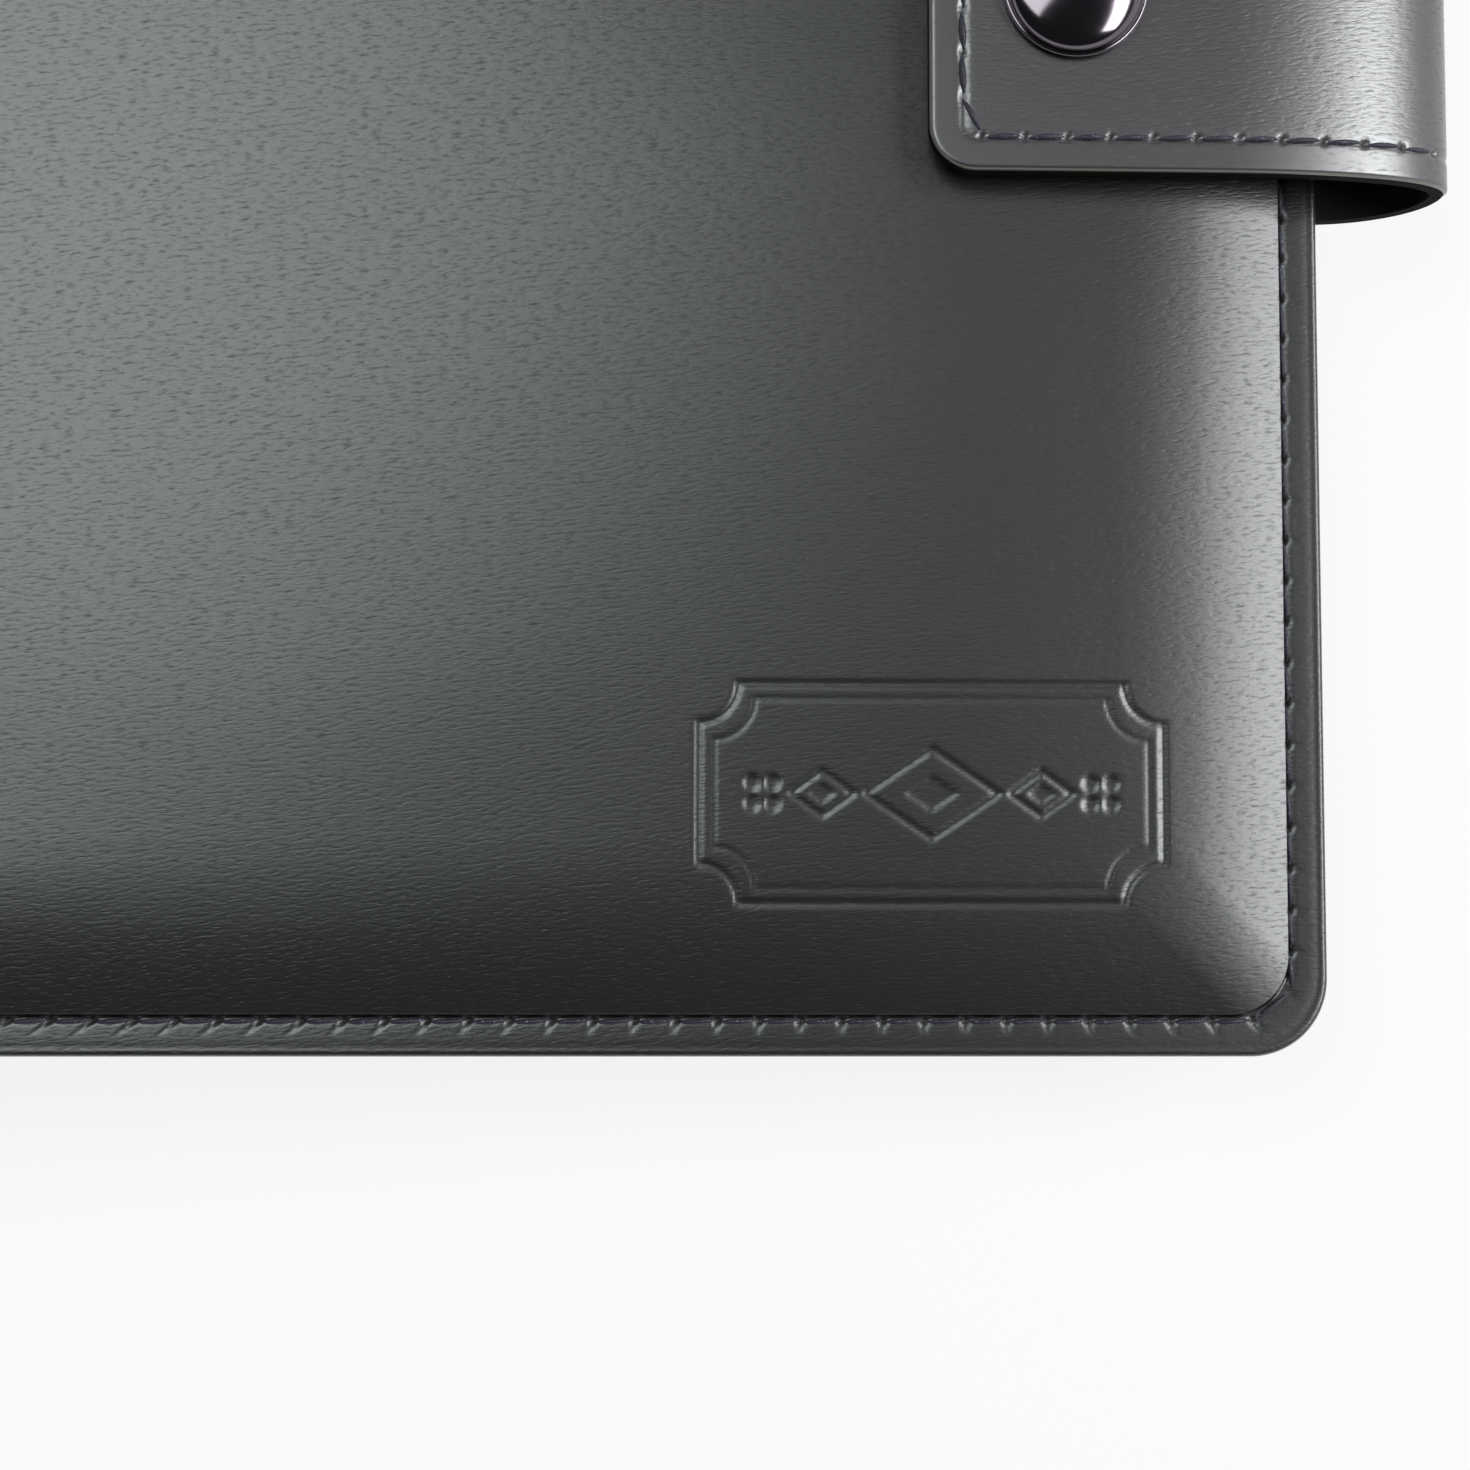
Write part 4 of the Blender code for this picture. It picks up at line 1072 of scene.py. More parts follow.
def make_strap():
    lay_out_strap()
    flap, root = STRAP_PATHS["flap"], STRAP_PATHS["root"]
    middle = STRAP_THICKNESS * STRAP_LAYER_SHARE
    make_strap_length(
        "strap_flap_leather", flap, True, ("strap_flap_outer",), looks["strap"],
        0, middle, strap_seam_holes())
    make_strap_length(
        "strap_flap_backing", flap, True, ("strap_flap_lining",), looks["strap_back"],
        middle, STRAP_THICKNESS)
    make_strap_length(
        "strap_root_leather", root, False, ("strap_bend_outer", "strap_root_outer"),
        looks["strap"], 0, middle)
    make_strap_length(
        "strap_root_backing", root, False, ("strap_bend_lining", "strap_root_lining"),
        looks["strap_back"], middle, STRAP_THICKNESS)


def model_stitch():
    """One stitch, a unit long and thick: a stretched bead whose ends dive and lean to either side."""
    deselect()
    bpy.ops.mesh.primitive_uv_sphere_add(segments=8, ring_count=8, radius=1, rotation=(0, math.pi / 2, 0))
    stitch = bpy.context.object
    bpy.ops.object.transform_apply(location=False, rotation=True, scale=False)
    bpy.ops.object.mode_set(mode="EDIT")
    for end in (-1, 1):
        for reach, dive in STITCH_DIVES:
            bpy.ops.mesh.select_all(action="DESELECT")
            bpy.ops.object.mode_set(mode="OBJECT")
            for vert in stitch.data.vertices:
                vert.select = vert.co.x * end > reach
            bpy.ops.object.mode_set(mode="EDIT")
            bpy.ops.transform.translate(value=(0, end * STITCH_LEAN, -dive))
    bpy.ops.object.mode_set(mode="OBJECT")
    points = np.array([vert.co for vert in stitch.data.vertices])
    faces = [tuple(face.vertices) for face in stitch.data.polygons]
    bpy.data.objects.remove(stitch)
    return points, faces


def sew(name, stitch, starts, ends, ups, fineness=1.0):
    """One mesh of all the stitches of a seam, from each start to its end, lying on the side that up gives."""
    unit_points, unit_faces = stitch
    points, faces = [], []
    radius = sizes().thread * fineness
    for start, end, up in zip(starts, ends, ups):
        way = end - start
        length = np.linalg.norm(way)
        way = way / length
        up = up - way * np.dot(up, way)
        up = up / np.linalg.norm(up)
        aside = np.cross(up, way)
        shape = unit_points * (length * STITCH_SHARE, radius, radius)
        base = len(points) * len(unit_points)
        points.append((start + end) / 2 + shape @ np.array([way, aside, up]))
        faces += [tuple(base + corner for corner in face) for face in unit_faces]
    return mesh_piece(name, np.concatenate(points), faces, looks["thread"])


def sew_flat(name, stitch, matrix, starts, ends, height, side, fineness=1.0):
    """A seam on a flat face of a local frame, lying on its +Z or its -Z side."""
    places = [
        in_frame(matrix, np.column_stack([flat, np.full(len(flat), height)])) for flat in (starts, ends)]
    up = side * np.array(matrix, float)[:3, 2]
    return sew(name, stitch, *places, [up] * len(starts), fineness)


def sew_along(name, stitch, path, holes, lift):
    """A seam that follows a path, at a height over its outer face."""
    _, _, way = path.at(holes[:, 0])
    up = np.column_stack([-way[:, 1], np.zeros(len(holes)), way[:, 0]])
    places = path.place(holes[:, 0], holes[:, 1], np.full(len(holes), lift))
    return sew(name, stitch, places[:-1], places[1:], up[:-1])


def make_cover_seam(side, cover_frame, body, stitch):
    """A cover's stitches, as they show on the leather and on the lining."""
    holes = cover_seam_holes()
    following = np.roll(holes, -1, axis=0)
    height = FLANGE_TOP - SEAM_GROOVE_DEPTH + sizes().thread * 0.75
    piece = sew_flat(f"{side}_cover_seam", stitch, cover_frame, holes, following, height, 1)
    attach(piece, body)
    height = -sizes().thread * 0.2
    lining_seam = sew_flat(f"{side}_lining_seam", stitch, cover_frame, holes, following, height, -1)
    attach(lining_seam, body)


def make_strap_seam(stitch):
    """The stitches round the flap and along both sides of the root."""
    lift = sizes().thread * 0.6 - STRAP_GROOVE_DEPTH
    piece = sew_along("strap_flap_seam", stitch, STRAP_PATHS["flap"], strap_seam_holes(), lift)
    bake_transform(piece)
    root = STRAP_PATHS["root"]
    side = STRAP_WIDTH / 2 - STRAP_SEAM
    for name, edge in (("strap_root_seam_tail", -side), ("strap_root_seam_head", side)):
        holes = even_stitches((0, edge), (root.length - 0.002, edge))
        piece = sew_along(name, stitch, root, holes, lift)
        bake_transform(piece)


def model_turned(name, profile, frame_matrix, look, steps=64):
    """A turned piece: one point drawn out along its profile of radii and heights, then spun."""
    deselect()
    radius, height = profile[0]
    bpy.ops.mesh.primitive_plane_add(size=0.001, location=(0, 0, 0))
    piece = bpy.context.object
    piece.name = name
    piece.data.name = name
    bpy.ops.object.mode_set(mode="EDIT")
    bpy.ops.mesh.select_all(action="SELECT")
    bpy.ops.mesh.merge(type="CENTER")
    bpy.ops.transform.translate(value=(radius, 0, height))
    for next_radius, next_height in profile[1:]:
        step = (next_radius - radius, 0, next_height - height)
        bpy.ops.mesh.extrude_region_move(TRANSFORM_OT_translate={"value": step})
        radius, height = next_radius, next_height
    bpy.ops.mesh.select_all(action="SELECT")
    bpy.ops.mesh.spin(steps=steps, angle=2 * math.pi, center=(0, 0, 0), axis=(0, 0, 1))
    bpy.ops.mesh.select_all(action="SELECT")
    bpy.ops.mesh.remove_doubles(threshold=1e-6)
    bpy.ops.mesh.normals_make_consistent(inside=False)
    bpy.ops.object.mode_set(mode="OBJECT")
    piece.data.transform(frame_matrix)
    piece.data.shade_smooth()
    piece.data.set_sharp_from_angle(angle=math.radians(32))
    piece.data.materials.append(look)
    return piece


def arc_points(centre, radius, start, end, steps, squeeze=1.0):
    """Profile points on an arc, flattened in height by a share."""
    turns = [math.radians(start + (end - start) * step / steps) for step in range(steps + 1)]
    return [(centre[0] + radius * math.cos(t), centre[1] + radius * squeeze * math.sin(t)) for t in turns]


def make_snap():
    strap_low = STRAP_HIGH - STRAP_THICKNESS
    flat_radius = CAP_RADIUS - CAP_RIM
    profile = [(0, strap_low), (SHANK_RADIUS, strap_low), (SHANK_RADIUS, CAP_LOW)]
    profile += [(flat_radius - 0.0006, CAP_LOW)]
    profile += arc_points((flat_radius, CAP_LOW + CAP_RIM), CAP_RIM, -90, 110, 12)
    neck = profile[-1][0] - 0.00006
    dome_low = profile[-1][1] - 0.00003
    rise = CAP_LOW + CAP_HEIGHT - dome_low
    dome = arc_points((0, dome_low), neck, 0, 90, 22, rise / neck)
    profile += dome[:-1] + [(0, dome[-1][1])]
    cap = model_turned("snap_cap_dome", profile, SNAP_FRAME, looks["dark_nickel"], 96)
    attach(cap, "strap_flap")
    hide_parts("snap_cap")

    socket = [(0, 0.00765), (0.0024, 0.00765), (0.0025, 0.00675), (0.0031, 0.0067), (0.0034, 0.0071),
              (0.0048, 0.0071), (0.0051, 0.00675)]
    socket += arc_points((0.0054, 0.0071), 0.00026, -110, 70, 6) + [(0.0050, 0.0079), (0, 0.00795)]
    ring = model_turned("snap_socket_ring", socket, SNAP_FRAME, looks["dark_nickel"])
    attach(ring, "strap_flap")
    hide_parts("snap_socket")

    stud = [(0, 0.00615), (0.0046, 0.00615)] + arc_points((0.00485, 0.0063), 0.00015, -90, 90, 5)
    stud += [(0.0030, 0.0065), (0.0017, 0.00652)] + arc_points((0.00155, 0.00705), 0.00035, -70, 90, 8)
    stud += [(0.0009, 0.00735), (0.0007, 0.0072), (0, 0.0072)]
    knob = model_turned("snap_stud_knob", stud, SNAP_FRAME, looks["dark_nickel"])
    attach(knob, "front_cover")
    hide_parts("snap_stud")


def spine_paths():
    """The spine skin's two lengths, from each cover's crease to the middle, on its outer face."""
    centre_x = SPINE_OUTER + CREASE_RADIUS
    low = INNER_FACE - FLANGE_TOP + CREASE_RADIUS
    high = FRONT_CORNER.z - FRONT_TANGENT
    middle = (low + high) / 2

    def crease(height, start, end):
        turns = np.radians(np.linspace(start, end, 25))[:, None]
        return np.hstack([centre_x + CREASE_RADIUS * np.cos(turns), height + CREASE_RADIUS * np.sin(turns)])

    lower = np.concatenate([crease(low, 270, 180), [(SPINE_OUTER, middle)]])
    upper = np.concatenate([[(SPINE_OUTER, middle)], crease(high, 180, 90 - math.degrees(TILT))])
    lower_bend = ("back_cover", "spine", (lower[0][0], 0, lower[0][1]), (SPINE_OUTER, 0, low))
    upper_bend = ("spine", "front_cover", (SPINE_OUTER, 0, high), (upper[-1][0], 0, upper[-1][1]))
    return (Path(lower), lower_bend), (Path(upper), upper_bend)


def spine_height(from_end, from_crease):
    """The spine skin's outer face: rounded at head and tail, grooved at the seam, with two pressed lines."""
    height = -edge_drop(from_end, EDGE_ROUND)
    height = height - SPINE_GROOVE_DEPTH * groove(from_end - SEAM_FROM_TAIL, SEAM_GROOVE_HALF)
    for place in SPINE_LINE_PLACES:
        height = height - SPINE_LINE_DEPTH * groove(from_crease - place, SPINE_LINE_HALF)
    return height


def make_spine(stitch):
    """The spine's leather in two lengths, each bending over its crease, with its own end seams."""
    (lower, lower_bend), (upper, upper_bend) = spine_paths()
    seam_lift = sizes().thread * 0.75 - SPINE_GROOVE_DEPTH
    fine_end = HALF_HEIGHT - 0.006
    lines_y = spaced(
        -HALF_HEIGHT, (-fine_end, SPINE_MESH_STEP), (fine_end, 0.0025), (HALF_HEIGHT, SPINE_MESH_STEP))
    for name, path, bend, flip in (("back", lower, lower_bend, False), ("front", upper, upper_bend, True)):
        along = spaced(0, (path.length, SPINE_MESH_STEP))
        s, y = (values.ravel() for values in np.meshgrid(along, lines_y, indexing="ij"))
        from_crease = path.length - s if flip else s
        top = spine_height(HALF_HEIGHT - np.abs(y), from_crease)
        points = np.concatenate([path.place(s, y, top), path.place(s, y, np.full(len(s), -SKIN))])
        piece = mesh_piece(
            f"spine_{name}_leather", points, sheet_faces(len(along), len(lines_y)), looks["spine"],
            np.tile(np.column_stack([s, y]), (2, 1)))
        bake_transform(piece)
        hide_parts("spine_skin")
        for end, side in (("tail", -1), ("head", 1)):
            place = side * (HALF_HEIGHT - SEAM_FROM_TAIL)
            holes = even_stitches((0.0004, place), (path.length, place))
            holes = np.concatenate([holes, [(path.length, place)]])
            seam = sew_along(f"spine_{name}_seam_{end}", stitch, path, holes, seam_lift)
            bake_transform(seam)


def make_lining(side, cover_frame, body):
    """A cover's cloth lining, its edge rounded over."""
    edge, flat_from = 0.0002, 0.0006
    section = ((flat_from, 0), (edge, 0), (0, edge), (0, LINING - edge), (edge, LINING), (flat_from, LINING))
    section = [(LINING_INSET + inset, height) for inset, height in section]
    flat, faces = stacked_rings(6, 0.01, section, (CORNER_RADIUS - LINING_INSET, SPINE_CORNER_RADIUS))
    piece = mesh_piece(
        f"{side}_lining_cloth", in_frame(cover_frame, flat), faces, looks["cloth"], flat[:, :2])
    piece.data.set_sharp_from_angle(angle=math.radians(60))
    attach(piece, body)
    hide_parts(f"{side}_lining")


def make_spine_lining():
    """The spine's cloth lining: a flat strip with rounded edges, seen between the open covers."""
    low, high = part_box("spine_lining")
    edge, step = CLOTH_EDGE, 0.0012
    lines = [spaced(start, (start + 0.0006, edge / 2), (end - 0.0006, step), (end, edge / 2))
             for start, end in ((low.y, high.y), (low.z, high.z))]
    y, z = (values.ravel() for values in np.meshgrid(*lines, indexing="ij"))
    from_edge = np.minimum(np.minimum(y - low.y, high.y - y), np.minimum(z - low.z, high.z - z))
    outer = np.column_stack([high.x - edge_drop(from_edge, edge), y, z])
    inner = np.column_stack([np.full(len(y), low.x), y, z])
    piece = mesh_piece(
        "spine_lining_cloth", np.concatenate([outer, inner]), sheet_faces(len(lines[0]), len(lines[1])),
        looks["cloth"], np.tile(np.column_stack([z, y]), (2, 1)))
    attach(piece, "spine")
    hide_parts("spine_lining")


def make_cloth_panel(name, node, matrix, ranges, body, stitch, hem_side):
    """A sewn cloth panel that faces local -Z: folded hem on its open side, soft edges, stitches round it."""
    (x0, x1), (y0, y1), (z0, z1) = ranges
    fine = 0.0004
    lines = []
    for low, high in ((x0, x1), (y0, y1)):
        reach = min(0.006, (high - low) / 3)
        lines.append(spaced(low, (low + reach, fine), (high - reach, 0.003), (high, fine)))
    x, y = (values.ravel() for values in np.meshgrid(*lines, indexing="ij"))
    from_open = (y1 - y) if hem_side > 0 else (y - y0)
    from_edge = np.minimum(np.minimum(x - x0, x1 - x), np.minimum(y - y0, y1 - y))
    drop = edge_drop(from_edge, CLOTH_EDGE) + HEM_FOLD / (1 + np.exp((HEM - from_open) / HEM_FOLD))
    drop = drop + 0.00010 * groove(from_open - HEM + HEM_SEAM, 0.0004)
    front = np.column_stack([x, y, z0 + drop])
    back = np.column_stack([x, y, np.full(len(x), z1)])
    piece = mesh_piece(
        name, in_frame(matrix, np.concatenate([front, back])), sheet_faces(len(lines[0]), len(lines[1])),
        looks["cloth"], np.tile(np.column_stack([x, y]), (2, 1)))
    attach(piece, body)
    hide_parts(node)
    margin = CLOTH_MARGIN
    open_y, closed_y = (y1, y0) if hem_side > 0 else (y0, y1)
    inner_y = closed_y + math.copysign(margin, open_y - closed_y)
    hem_y = open_y - math.copysign(HEM - HEM_SEAM, open_y - closed_y)
    side_stop = open_y - math.copysign(0.0006, open_y - closed_y)
    runs = [
        ((x0 + margin, side_stop), (x0 + margin, inner_y)),
        ((x0 + margin, inner_y), (x1 - margin, inner_y)),
        ((x1 - margin, inner_y), (x1 - margin, side_stop)),
        ((x1 - margin, hem_y), (x0 + margin, hem_y)),
    ]
    starts, ends = [], []
    for start, end in runs:
        holes = even_stitches(start, end, CLOTH_STITCH)
        holes = np.concatenate([holes, [end]])
        starts.append(holes[:-1])
        ends.append(holes[1:])
    starts, ends = (np.concatenate(part) for part in (starts, ends))
    height = z0 - sizes().thread * 0.1
    seam = sew_flat(f"{name}_seam", stitch, matrix, starts, ends, height, -1, 0.7)
    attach(seam, body)
    x1 - x0
    y1 - y0


def local_ranges(node, matrix):
    """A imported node's extent in a local frame."""
    points = np.array([vert.co for vert in frame["nodes"][node].data.vertices])
    local = in_frame(matrix.inverted(), points)
    return list(zip(local.min(axis=0), local.max(axis=0)))


def make_cloth_inside(stitch):
    for cover in COVERS:
        make_lining(*cover)
    make_spine_lining()
    panels = [("front_pocket", FRONT_FRAME, "front_cover", "front_lining", 1),
              ("back_pocket", BACK_FRAME, "back_cover", "back_lining", -1)]
    panels += [(f"card_slot_{i}", FRONT_FRAME, "front_cover", "front_lining", 1) for i in (1, 2, 3)]
    for node, matrix, body, rests_on, hem_side in panels:
        ranges = local_ranges(node, matrix)
        make_cloth_panel(f"{node}_cloth", node, matrix, ranges, body, stitch, hem_side)


def bright_piece(piece, name, body, *replaced):
    """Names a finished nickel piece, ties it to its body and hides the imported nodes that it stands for."""
    piece.name = name
    piece.data.name = name
    piece.data.transform(MECHANISM_FRAME)
    piece.data.materials.clear()
    piece.data.materials.append(looks["bright_nickel"])
    piece.data.shade_smooth()
    piece.data.set_sharp_from_angle(angle=math.radians(40))
    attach(piece, body)
    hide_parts(*replaced)


def apply_modifiers(piece):
    activate(piece)
    for modifier in list(piece.modifiers):
        bpy.ops.object.modifier_apply(modifier=modifier.name)


def tidy_normals(piece):
    activate(piece)
    bpy.ops.object.mode_set(mode="EDIT")
    bpy.ops.mesh.select_all(action="SELECT")
    bpy.ops.mesh.remove_doubles(threshold=1e-6)
    bpy.ops.mesh.normals_make_consistent(inside=False)
    bpy.ops.object.mode_set(mode="OBJECT")


def make_half_ring(bank, side, number, place):
    """A bent wire: a circle spun about the ring's middle, closed at its foot and its tip."""
    deselect()
    foot = RING_FOOT_ANGLE
    start = (RING_CENTRE - RING_RADIUS * math.cos(foot), place, side * RING_RADIUS * math.sin(foot))
    bpy.ops.mesh.primitive_circle_add(
        vertices=16, radius=RING_WIRE, fill_type="NOTHING", location=start,
        rotation=(0, math.pi / 2 - side * (math.pi / 2 - foot), 0))
    ring = bpy.context.object
    bpy.ops.object.transform_apply(location=True, rotation=True, scale=False)
    bpy.ops.object.mode_set(mode="EDIT")
    bpy.ops.mesh.select_all(action="SELECT")
    sweep = math.pi - math.asin(RING_TIP_GAP / 2 / RING_RADIUS) - foot
    bpy.ops.mesh.spin(steps=28, angle=-sweep * side, center=(RING_CENTRE, place, 0), axis=(0, 1, 0))
    bpy.ops.mesh.select_all(action="SELECT")
    bpy.ops.mesh.remove_doubles(threshold=1e-6)
    bpy.ops.mesh.fill_holes(sides=0)
    bpy.ops.mesh.normals_make_consistent(inside=False)
    bpy.ops.object.mode_set(mode="OBJECT")
    bright_piece(ring, f"ring_{bank}_{number}", f"ring_bank_{bank}", f"half_ring_{bank}_{number}")


def make_shield():
    """The mechanism's arched cover: half an oval tube with a slot for each half ring."""
    deselect()
    bpy.ops.mesh.primitive_cylinder_add(
        vertices=96, radius=1, depth=2 * SHIELD_HALF_LENGTH, end_fill_type="NOTHING",
        rotation=(math.pi / 2, 0, 0))
    shield = bpy.context.object
    bpy.ops.object.transform_apply(location=False, rotation=True, scale=False)
    bpy.ops.object.mode_set(mode="EDIT")
    bpy.ops.mesh.select_all(action="SELECT")
    bpy.ops.transform.resize(value=(SHIELD_RISE - LAYER_GAP, 1, SHIELD_HALF_WIDTH))
    bpy.ops.mesh.bisect(plane_co=(0, 0, 0), plane_no=(1, 0, 0), clear_inner=True)
    bpy.ops.mesh.select_all(action="SELECT")
    bpy.ops.transform.translate(value=(LAYER_GAP, 0, 0))
    bpy.ops.object.mode_set(mode="OBJECT")
    tidy_normals(shield)
    outward = sum(face.normal.x for face in shield.data.polygons)
    wall = shield.modifiers.new("wall", "SOLIDIFY")
    wall.thickness = SHIELD_WALL
    wall.offset = -1 if outward > 0 else 1
    sill, near, far, half = SHIELD_SLOTS
    cutters = []
    for place in RING_PLACES:
        for side in (-1, 1):
            bpy.ops.mesh.primitive_cube_add(size=1, location=(sill + 0.004, place, side * (near + far) / 2))
            cutter = bpy.context.object
            cutter.scale = (0.008, 2 * half, far - near)
            bpy.ops.object.transform_apply(location=True, rotation=False, scale=True)
            cutters.append(cutter)
    for cutter in cutters:
        slot = shield.modifiers.new(cutter.name, "BOOLEAN")
        slot.operation = "DIFFERENCE"
        slot.object = cutter
    apply_modifiers(shield)
    for cutter in cutters:
        bpy.data.objects.remove(cutter)
    soft = shield.modifiers.new("soft", "BEVEL")
    soft.width = SHIELD_ROUND
    soft.segments = 2
    soft.limit_method = "ANGLE"
    soft.angle_limit = math.radians(50)
    apply_modifiers(shield)
    bright_piece(shield, "mechanism_cover", "spine", "ring_shield")


def make_lever(end, side):
    """A thumb lever: a strip drawn out along its bends, thickened and softened."""
    deselect()
    low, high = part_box(f"lever_{end}")
    along, reach = LEVER_LINE[0]
    start = (along, side * (LEVER_PIVOT + reach), 0)
    bpy.ops.mesh.primitive_plane_add(size=high.z - low.z, location=start, rotation=(0, math.pi / 2, 0))
    lever = bpy.context.object
    bpy.ops.object.transform_apply(location=True, rotation=True, scale=False)
    bpy.ops.object.mode_set(mode="EDIT")
    bpy.ops.mesh.select_mode(type="VERT")
    bpy.ops.mesh.select_all(action="SELECT")
    bpy.ops.transform.resize(value=(1, 0, 1), center_override=start)
    bpy.ops.mesh.remove_doubles(threshold=1e-6)
    bpy.ops.mesh.select_all(action="SELECT")
    for before, after in zip(LEVER_LINE, LEVER_LINE[1:]):
        step = (after[0] - before[0], side * (after[1] - before[1]), 0)
        bpy.ops.mesh.extrude_region_move(TRANSFORM_OT_translate={"value": step})
    bpy.ops.object.mode_set(mode="OBJECT")
    tidy_normals(lever)
    wall = lever.modifiers.new("thickness", "SOLIDIFY")
    wall.thickness = LEVER_THICKNESS
    wall.offset = 0
    wall.use_even_offset = True
    soft = lever.modifiers.new("soft", "BEVEL")
    soft.width = LEVER_ROUND
    soft.segments = 3
    soft.limit_method = "ANGLE"
    apply_modifiers(lever)
    bright_piece(lever, f"thumb_lever_{end}", f"{end}_lever", f"lever_{end}")


def make_rivets():
    """Domed rivets that hold the mechanism to the spine board."""
    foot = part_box("rivet_head")[0].x - MECHANISM_FRAME.translation.x
    profile = [(0, foot), (0.0012, foot), (0.0012, 0.0050), (0.0021, 0.0050)]
    profile += arc_points((0.0021, 0.0052), 0.0002, -90, 0, 4)
    profile += arc_points((0, 0.0052), 0.0023, 5, 90, 10, 0.24)
    profile[-1] = (0, profile[-1][1])
    for end, place in (("head", RIVET_PLACE), ("tail", -RIVET_PLACE)):
        turn = MECHANISM_FRAME @ Matrix.Translation((0, place, 0)) @ Matrix.Rotation(math.pi / 2, 4, "Y")
        rivet = model_turned(f"domed_rivet_{end}", profile, turn, looks["bright_nickel"], 40)
        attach(rivet, "spine")
        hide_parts(f"rivet_{end}")


def make_mechanism():
    make_shield()
    for bank, side in (("upper", 1), ("lower", -1)):
        for number, place in enumerate(RING_PLACES, 1):
            make_half_ring(bank, side, number, place)
    make_lever("head", 1)
    make_lever("tail", -1)
    make_rivets()


def dress_packed_nodes():
    """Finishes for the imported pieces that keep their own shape."""
    keep = {
        "board": ("front_board", "back_board", "spine_board"),
        "bright_nickel": ("blade_upper", "blade_lower"),
        "dark_nickel": ("snap_post",),
    }
    for look, names in keep.items():
        for name in names:
            for slot in frame["nodes"][name].material_slots:
                slot.material = looks[look]


def stage_floor():
    """A pale floor that is white to the camera and keeps the folder's shadow."""
    deselect()
    bpy.ops.mesh.primitive_plane_add(size=2.2 * BACKDROP_RADIUS, location=(0, 0, -0.0003))
    floor = bpy.context.object
    floor.name = "floor"
    finish = Finish("pale_floor", (0.80, 0.80, 0.80), 0.9)
    camera_ray, glossy_ray, sent_ray = [
        finish.node("ShaderNodeLightPath", None, None, output)
        for output in ("Is Camera Ray", "Is Glossy Ray", "Is Transmission Ray")]
    seen = finish.node("ShaderNodeMixShader", None, {
        0: (camera_ray + glossy_ray + sent_ray).clamped() * FLOOR_GLOW,
        1: Value(finish, finish.shader.outputs[0]),
        2: finish.node("ShaderNodeEmission", None, {"Color": (1, 1, 1, 1), "Strength": 1.0}),
    })
    finish.tree.links.new(seen.socket, finish.tree.nodes["Material Output"].inputs["Surface"])
    floor.data.materials.append(finish.material)
    bpy.ops.mesh.primitive_cylinder_add(
        vertices=96, radius=BACKDROP_RADIUS, depth=BACKDROP_HEIGHT, end_fill_type="NOTHING",
        location=(0, 0, BACKDROP_HEIGHT / 2))
    backdrop = bpy.context.object
    backdrop.name = "backdrop"
    backdrop.data.shade_smooth()
    backdrop.data.materials.append(finish.material)


def stage_world():
    """A dim even light from all round."""
    world = bpy.data.worlds.new("studio")
    bpy.context.scene.world = world
    world.use_nodes = True
    ambient = world.node_tree.nodes["Background"]
    ambient.inputs["Color"].default_value = (0.9, 0.95, 1.0, 1)
    ambient.inputs["Strength"].default_value = 0.045


def softbox(name, place, aim, size, power, colour):
    """A rectangular lamp that faces a point."""
    lamp = bpy.data.lights.new(name, "AREA")
    lamp.shape = "RECTANGLE"
    lamp.size, lamp.size_y = size
    lamp.energy = power
    lamp.color = colour
    holder = bpy.data.objects.new(name, lamp)
    bpy.context.collection.objects.link(holder)
    holder.location = place
    holder.rotation_euler = (Vector(aim) - Vector(place)).to_track_quat("-Z", "Y").to_euler()


def stage_camera():
    camera = bpy.data.cameras.new("camera")
    camera.sensor_width = SENSOR
    camera.lens = FOCAL_PIXELS / PICTURE_SIZE * SENSOR
    camera.clip_start = 0.01
    holder = bpy.data.objects.new("camera", camera)
    bpy.context.collection.objects.link(holder)
    turn = Matrix.Identity(3)
    for angle, axis in zip(CAMERA_TURNS, "XYZ"):
        turn = turn @ Matrix.Rotation(math.radians(angle), 3, axis)
    holder.matrix_world = Matrix.Translation(CAMERA_PLACE) @ turn.to_4x4()
    bpy.context.scene.camera = holder


def make_stage():
    bpy.context.scene.view_settings.view_transform = "Standard"
    stage_camera()
    stage_floor()
    stage_world()
    for lamp in LAMPS:
        softbox(*lamp)


class DressStage(bpy.types.Operator):
    """Adds the pale floor, the studio lamps and the camera"""

    bl_idname = "folder.stage"
    bl_label = "Stage"

    def execute(self, context):
        make_stage()
        return {"FINISHED"}


class DressCovers(bpy.types.Operator):
    """Makes the padded leatherette covers with their tooling"""

    bl_idname = "folder.covers"
    bl_label = "Covers"

    def execute(self, context):
        make_cover_skin("front", FRONT_FRAME, "front_cover", CROWN, True)
        make_cover_skin("back", BACK_FRAME, "back_cover", 0, False)
        return {"FINISHED"}


class DressFoam(bpy.types.Operator):
    """Makes the foam sheets under the covers' skins"""

    bl_idname = "folder.foam"
    bl_label = "Foam"

    def execute(self, context):
        for cover in COVERS:
            make_foam(*cover)
        return {"FINISHED"}


class DressStrap(bpy.types.Operator):
    """Makes the strap's leather, its backing and their cut edges"""

    bl_idname = "folder.strap"
    bl_label = "Strap"

    def execute(self, context):
        make_strap()
        return {"FINISHED"}


class DressSnap(bpy.types.Operator):
    """Makes the snap's cap, socket and stud"""

    bl_idname = "folder.snap"
    bl_label = "Snap"

    def execute(self, context):
        make_snap()
        return {"FINISHED"}


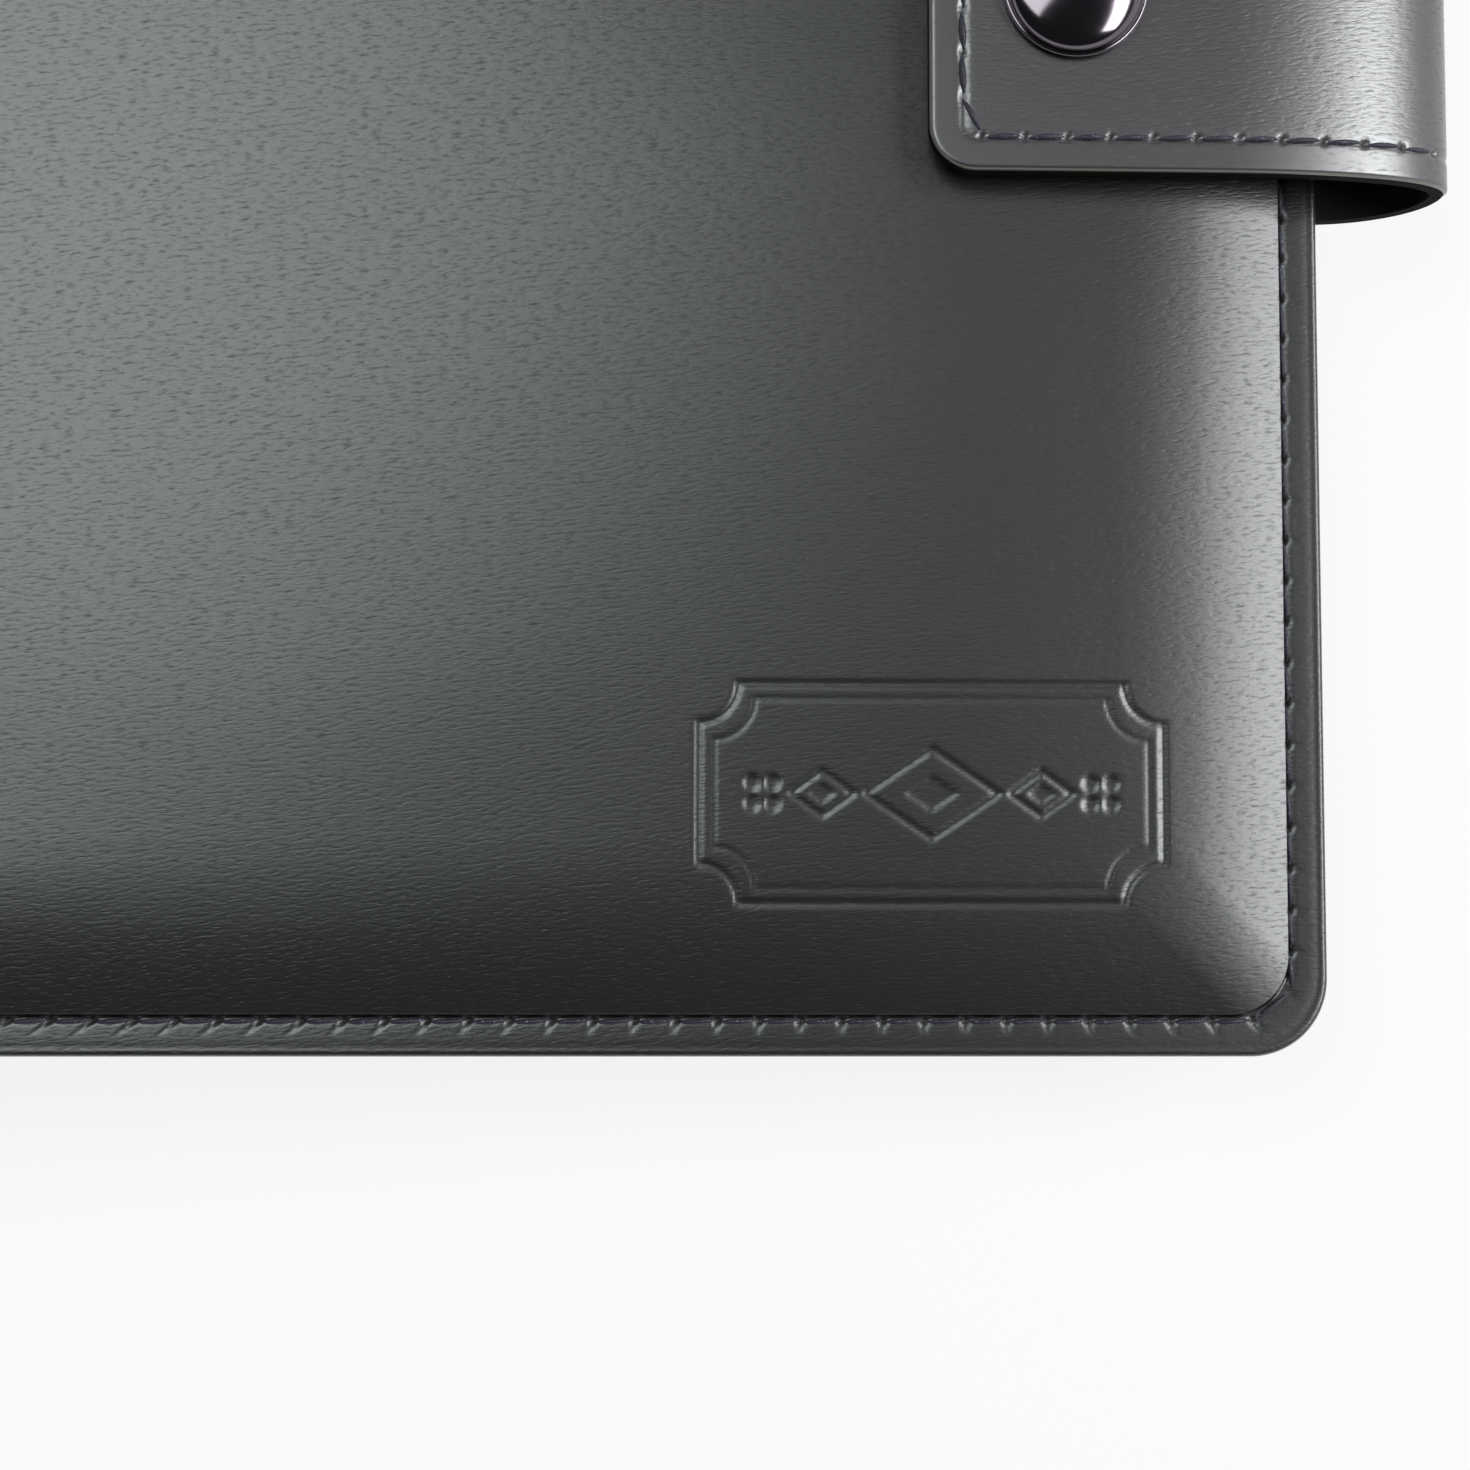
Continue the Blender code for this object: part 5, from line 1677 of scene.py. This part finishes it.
class DressSeams(bpy.types.Operator):
    """Sews the covers and the strap"""

    bl_idname = "folder.seams"
    bl_label = "Seams"

    def execute(self, context):
        stitch = model_stitch()
        for cover in COVERS:
            make_cover_seam(*cover, stitch)
        make_strap_seam(stitch)
        return {"FINISHED"}


class DressSpine(bpy.types.Operator):
    """Makes the spine's leather, which bends over its two creases"""

    bl_idname = "folder.spine"
    bl_label = "Spine"

    def execute(self, context):
        make_spine(model_stitch())
        return {"FINISHED"}


class DressInside(bpy.types.Operator):
    """Makes the cloth linings, the pockets and the card slots"""

    bl_idname = "folder.inside"
    bl_label = "Inside"

    def execute(self, context):
        make_cloth_inside(model_stitch())
        return {"FINISHED"}


class DressMechanism(bpy.types.Operator):
    """Makes the ring mechanism: cover, half rings, levers and rivets"""

    bl_idname = "folder.mechanism"
    bl_label = "Ring Mechanism"

    def execute(self, context):
        make_mechanism()
        return {"FINISHED"}


class DressPacked(bpy.types.Operator):
    """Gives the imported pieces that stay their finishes"""

    bl_idname = "folder.packed"
    bl_label = "Boards and Metal"

    def execute(self, context):
        dress_packed_nodes()
        return {"FINISHED"}


OPERATORS = (
    DressStage, DressCovers, DressFoam, DressSpine, DressStrap, DressSnap, DressSeams, DressInside,
    DressMechanism, DressPacked,
)


class FolderPanel(bpy.types.Panel):
    bl_idname = "VIEW3D_PT_document_folder"
    bl_label = "Document Folder"
    bl_space_type = "VIEW_3D"
    bl_region_type = "UI"
    bl_category = "Folder"

    def draw(self, context):
        for group in (context.scene.folder_sizes, context.scene.folder_colours):
            for name in group.bl_rna.properties.keys():
                if name not in ("rna_type", "name"):
                    self.layout.prop(group, name)
        for operator in OPERATORS:
            self.layout.operator(operator.bl_idname)


CLASSES = (FolderColours, FolderSizes, *OPERATORS, FolderPanel)


def register():
    for item in CLASSES:
        bpy.utils.register_class(item)
    bpy.types.Scene.folder_sizes = bpy.props.PointerProperty(type=FolderSizes)
    bpy.types.Scene.folder_colours = bpy.props.PointerProperty(type=FolderColours)


def unregister():
    del bpy.types.Scene.folder_colours
    del bpy.types.Scene.folder_sizes
    for item in reversed(CLASSES):
        bpy.utils.unregister_class(item)


def main():
    register()
    make_looks()
    bpy.ops.folder.stage()
    bpy.ops.folder.covers()
    bpy.ops.folder.foam()
    bpy.ops.folder.strap()
    bpy.ops.folder.snap()
    bpy.ops.folder.spine()
    bpy.ops.folder.seams()
    bpy.ops.folder.inside()
    bpy.ops.folder.mechanism()
    bpy.ops.folder.packed()


if __name__ == "__main__":
    main()
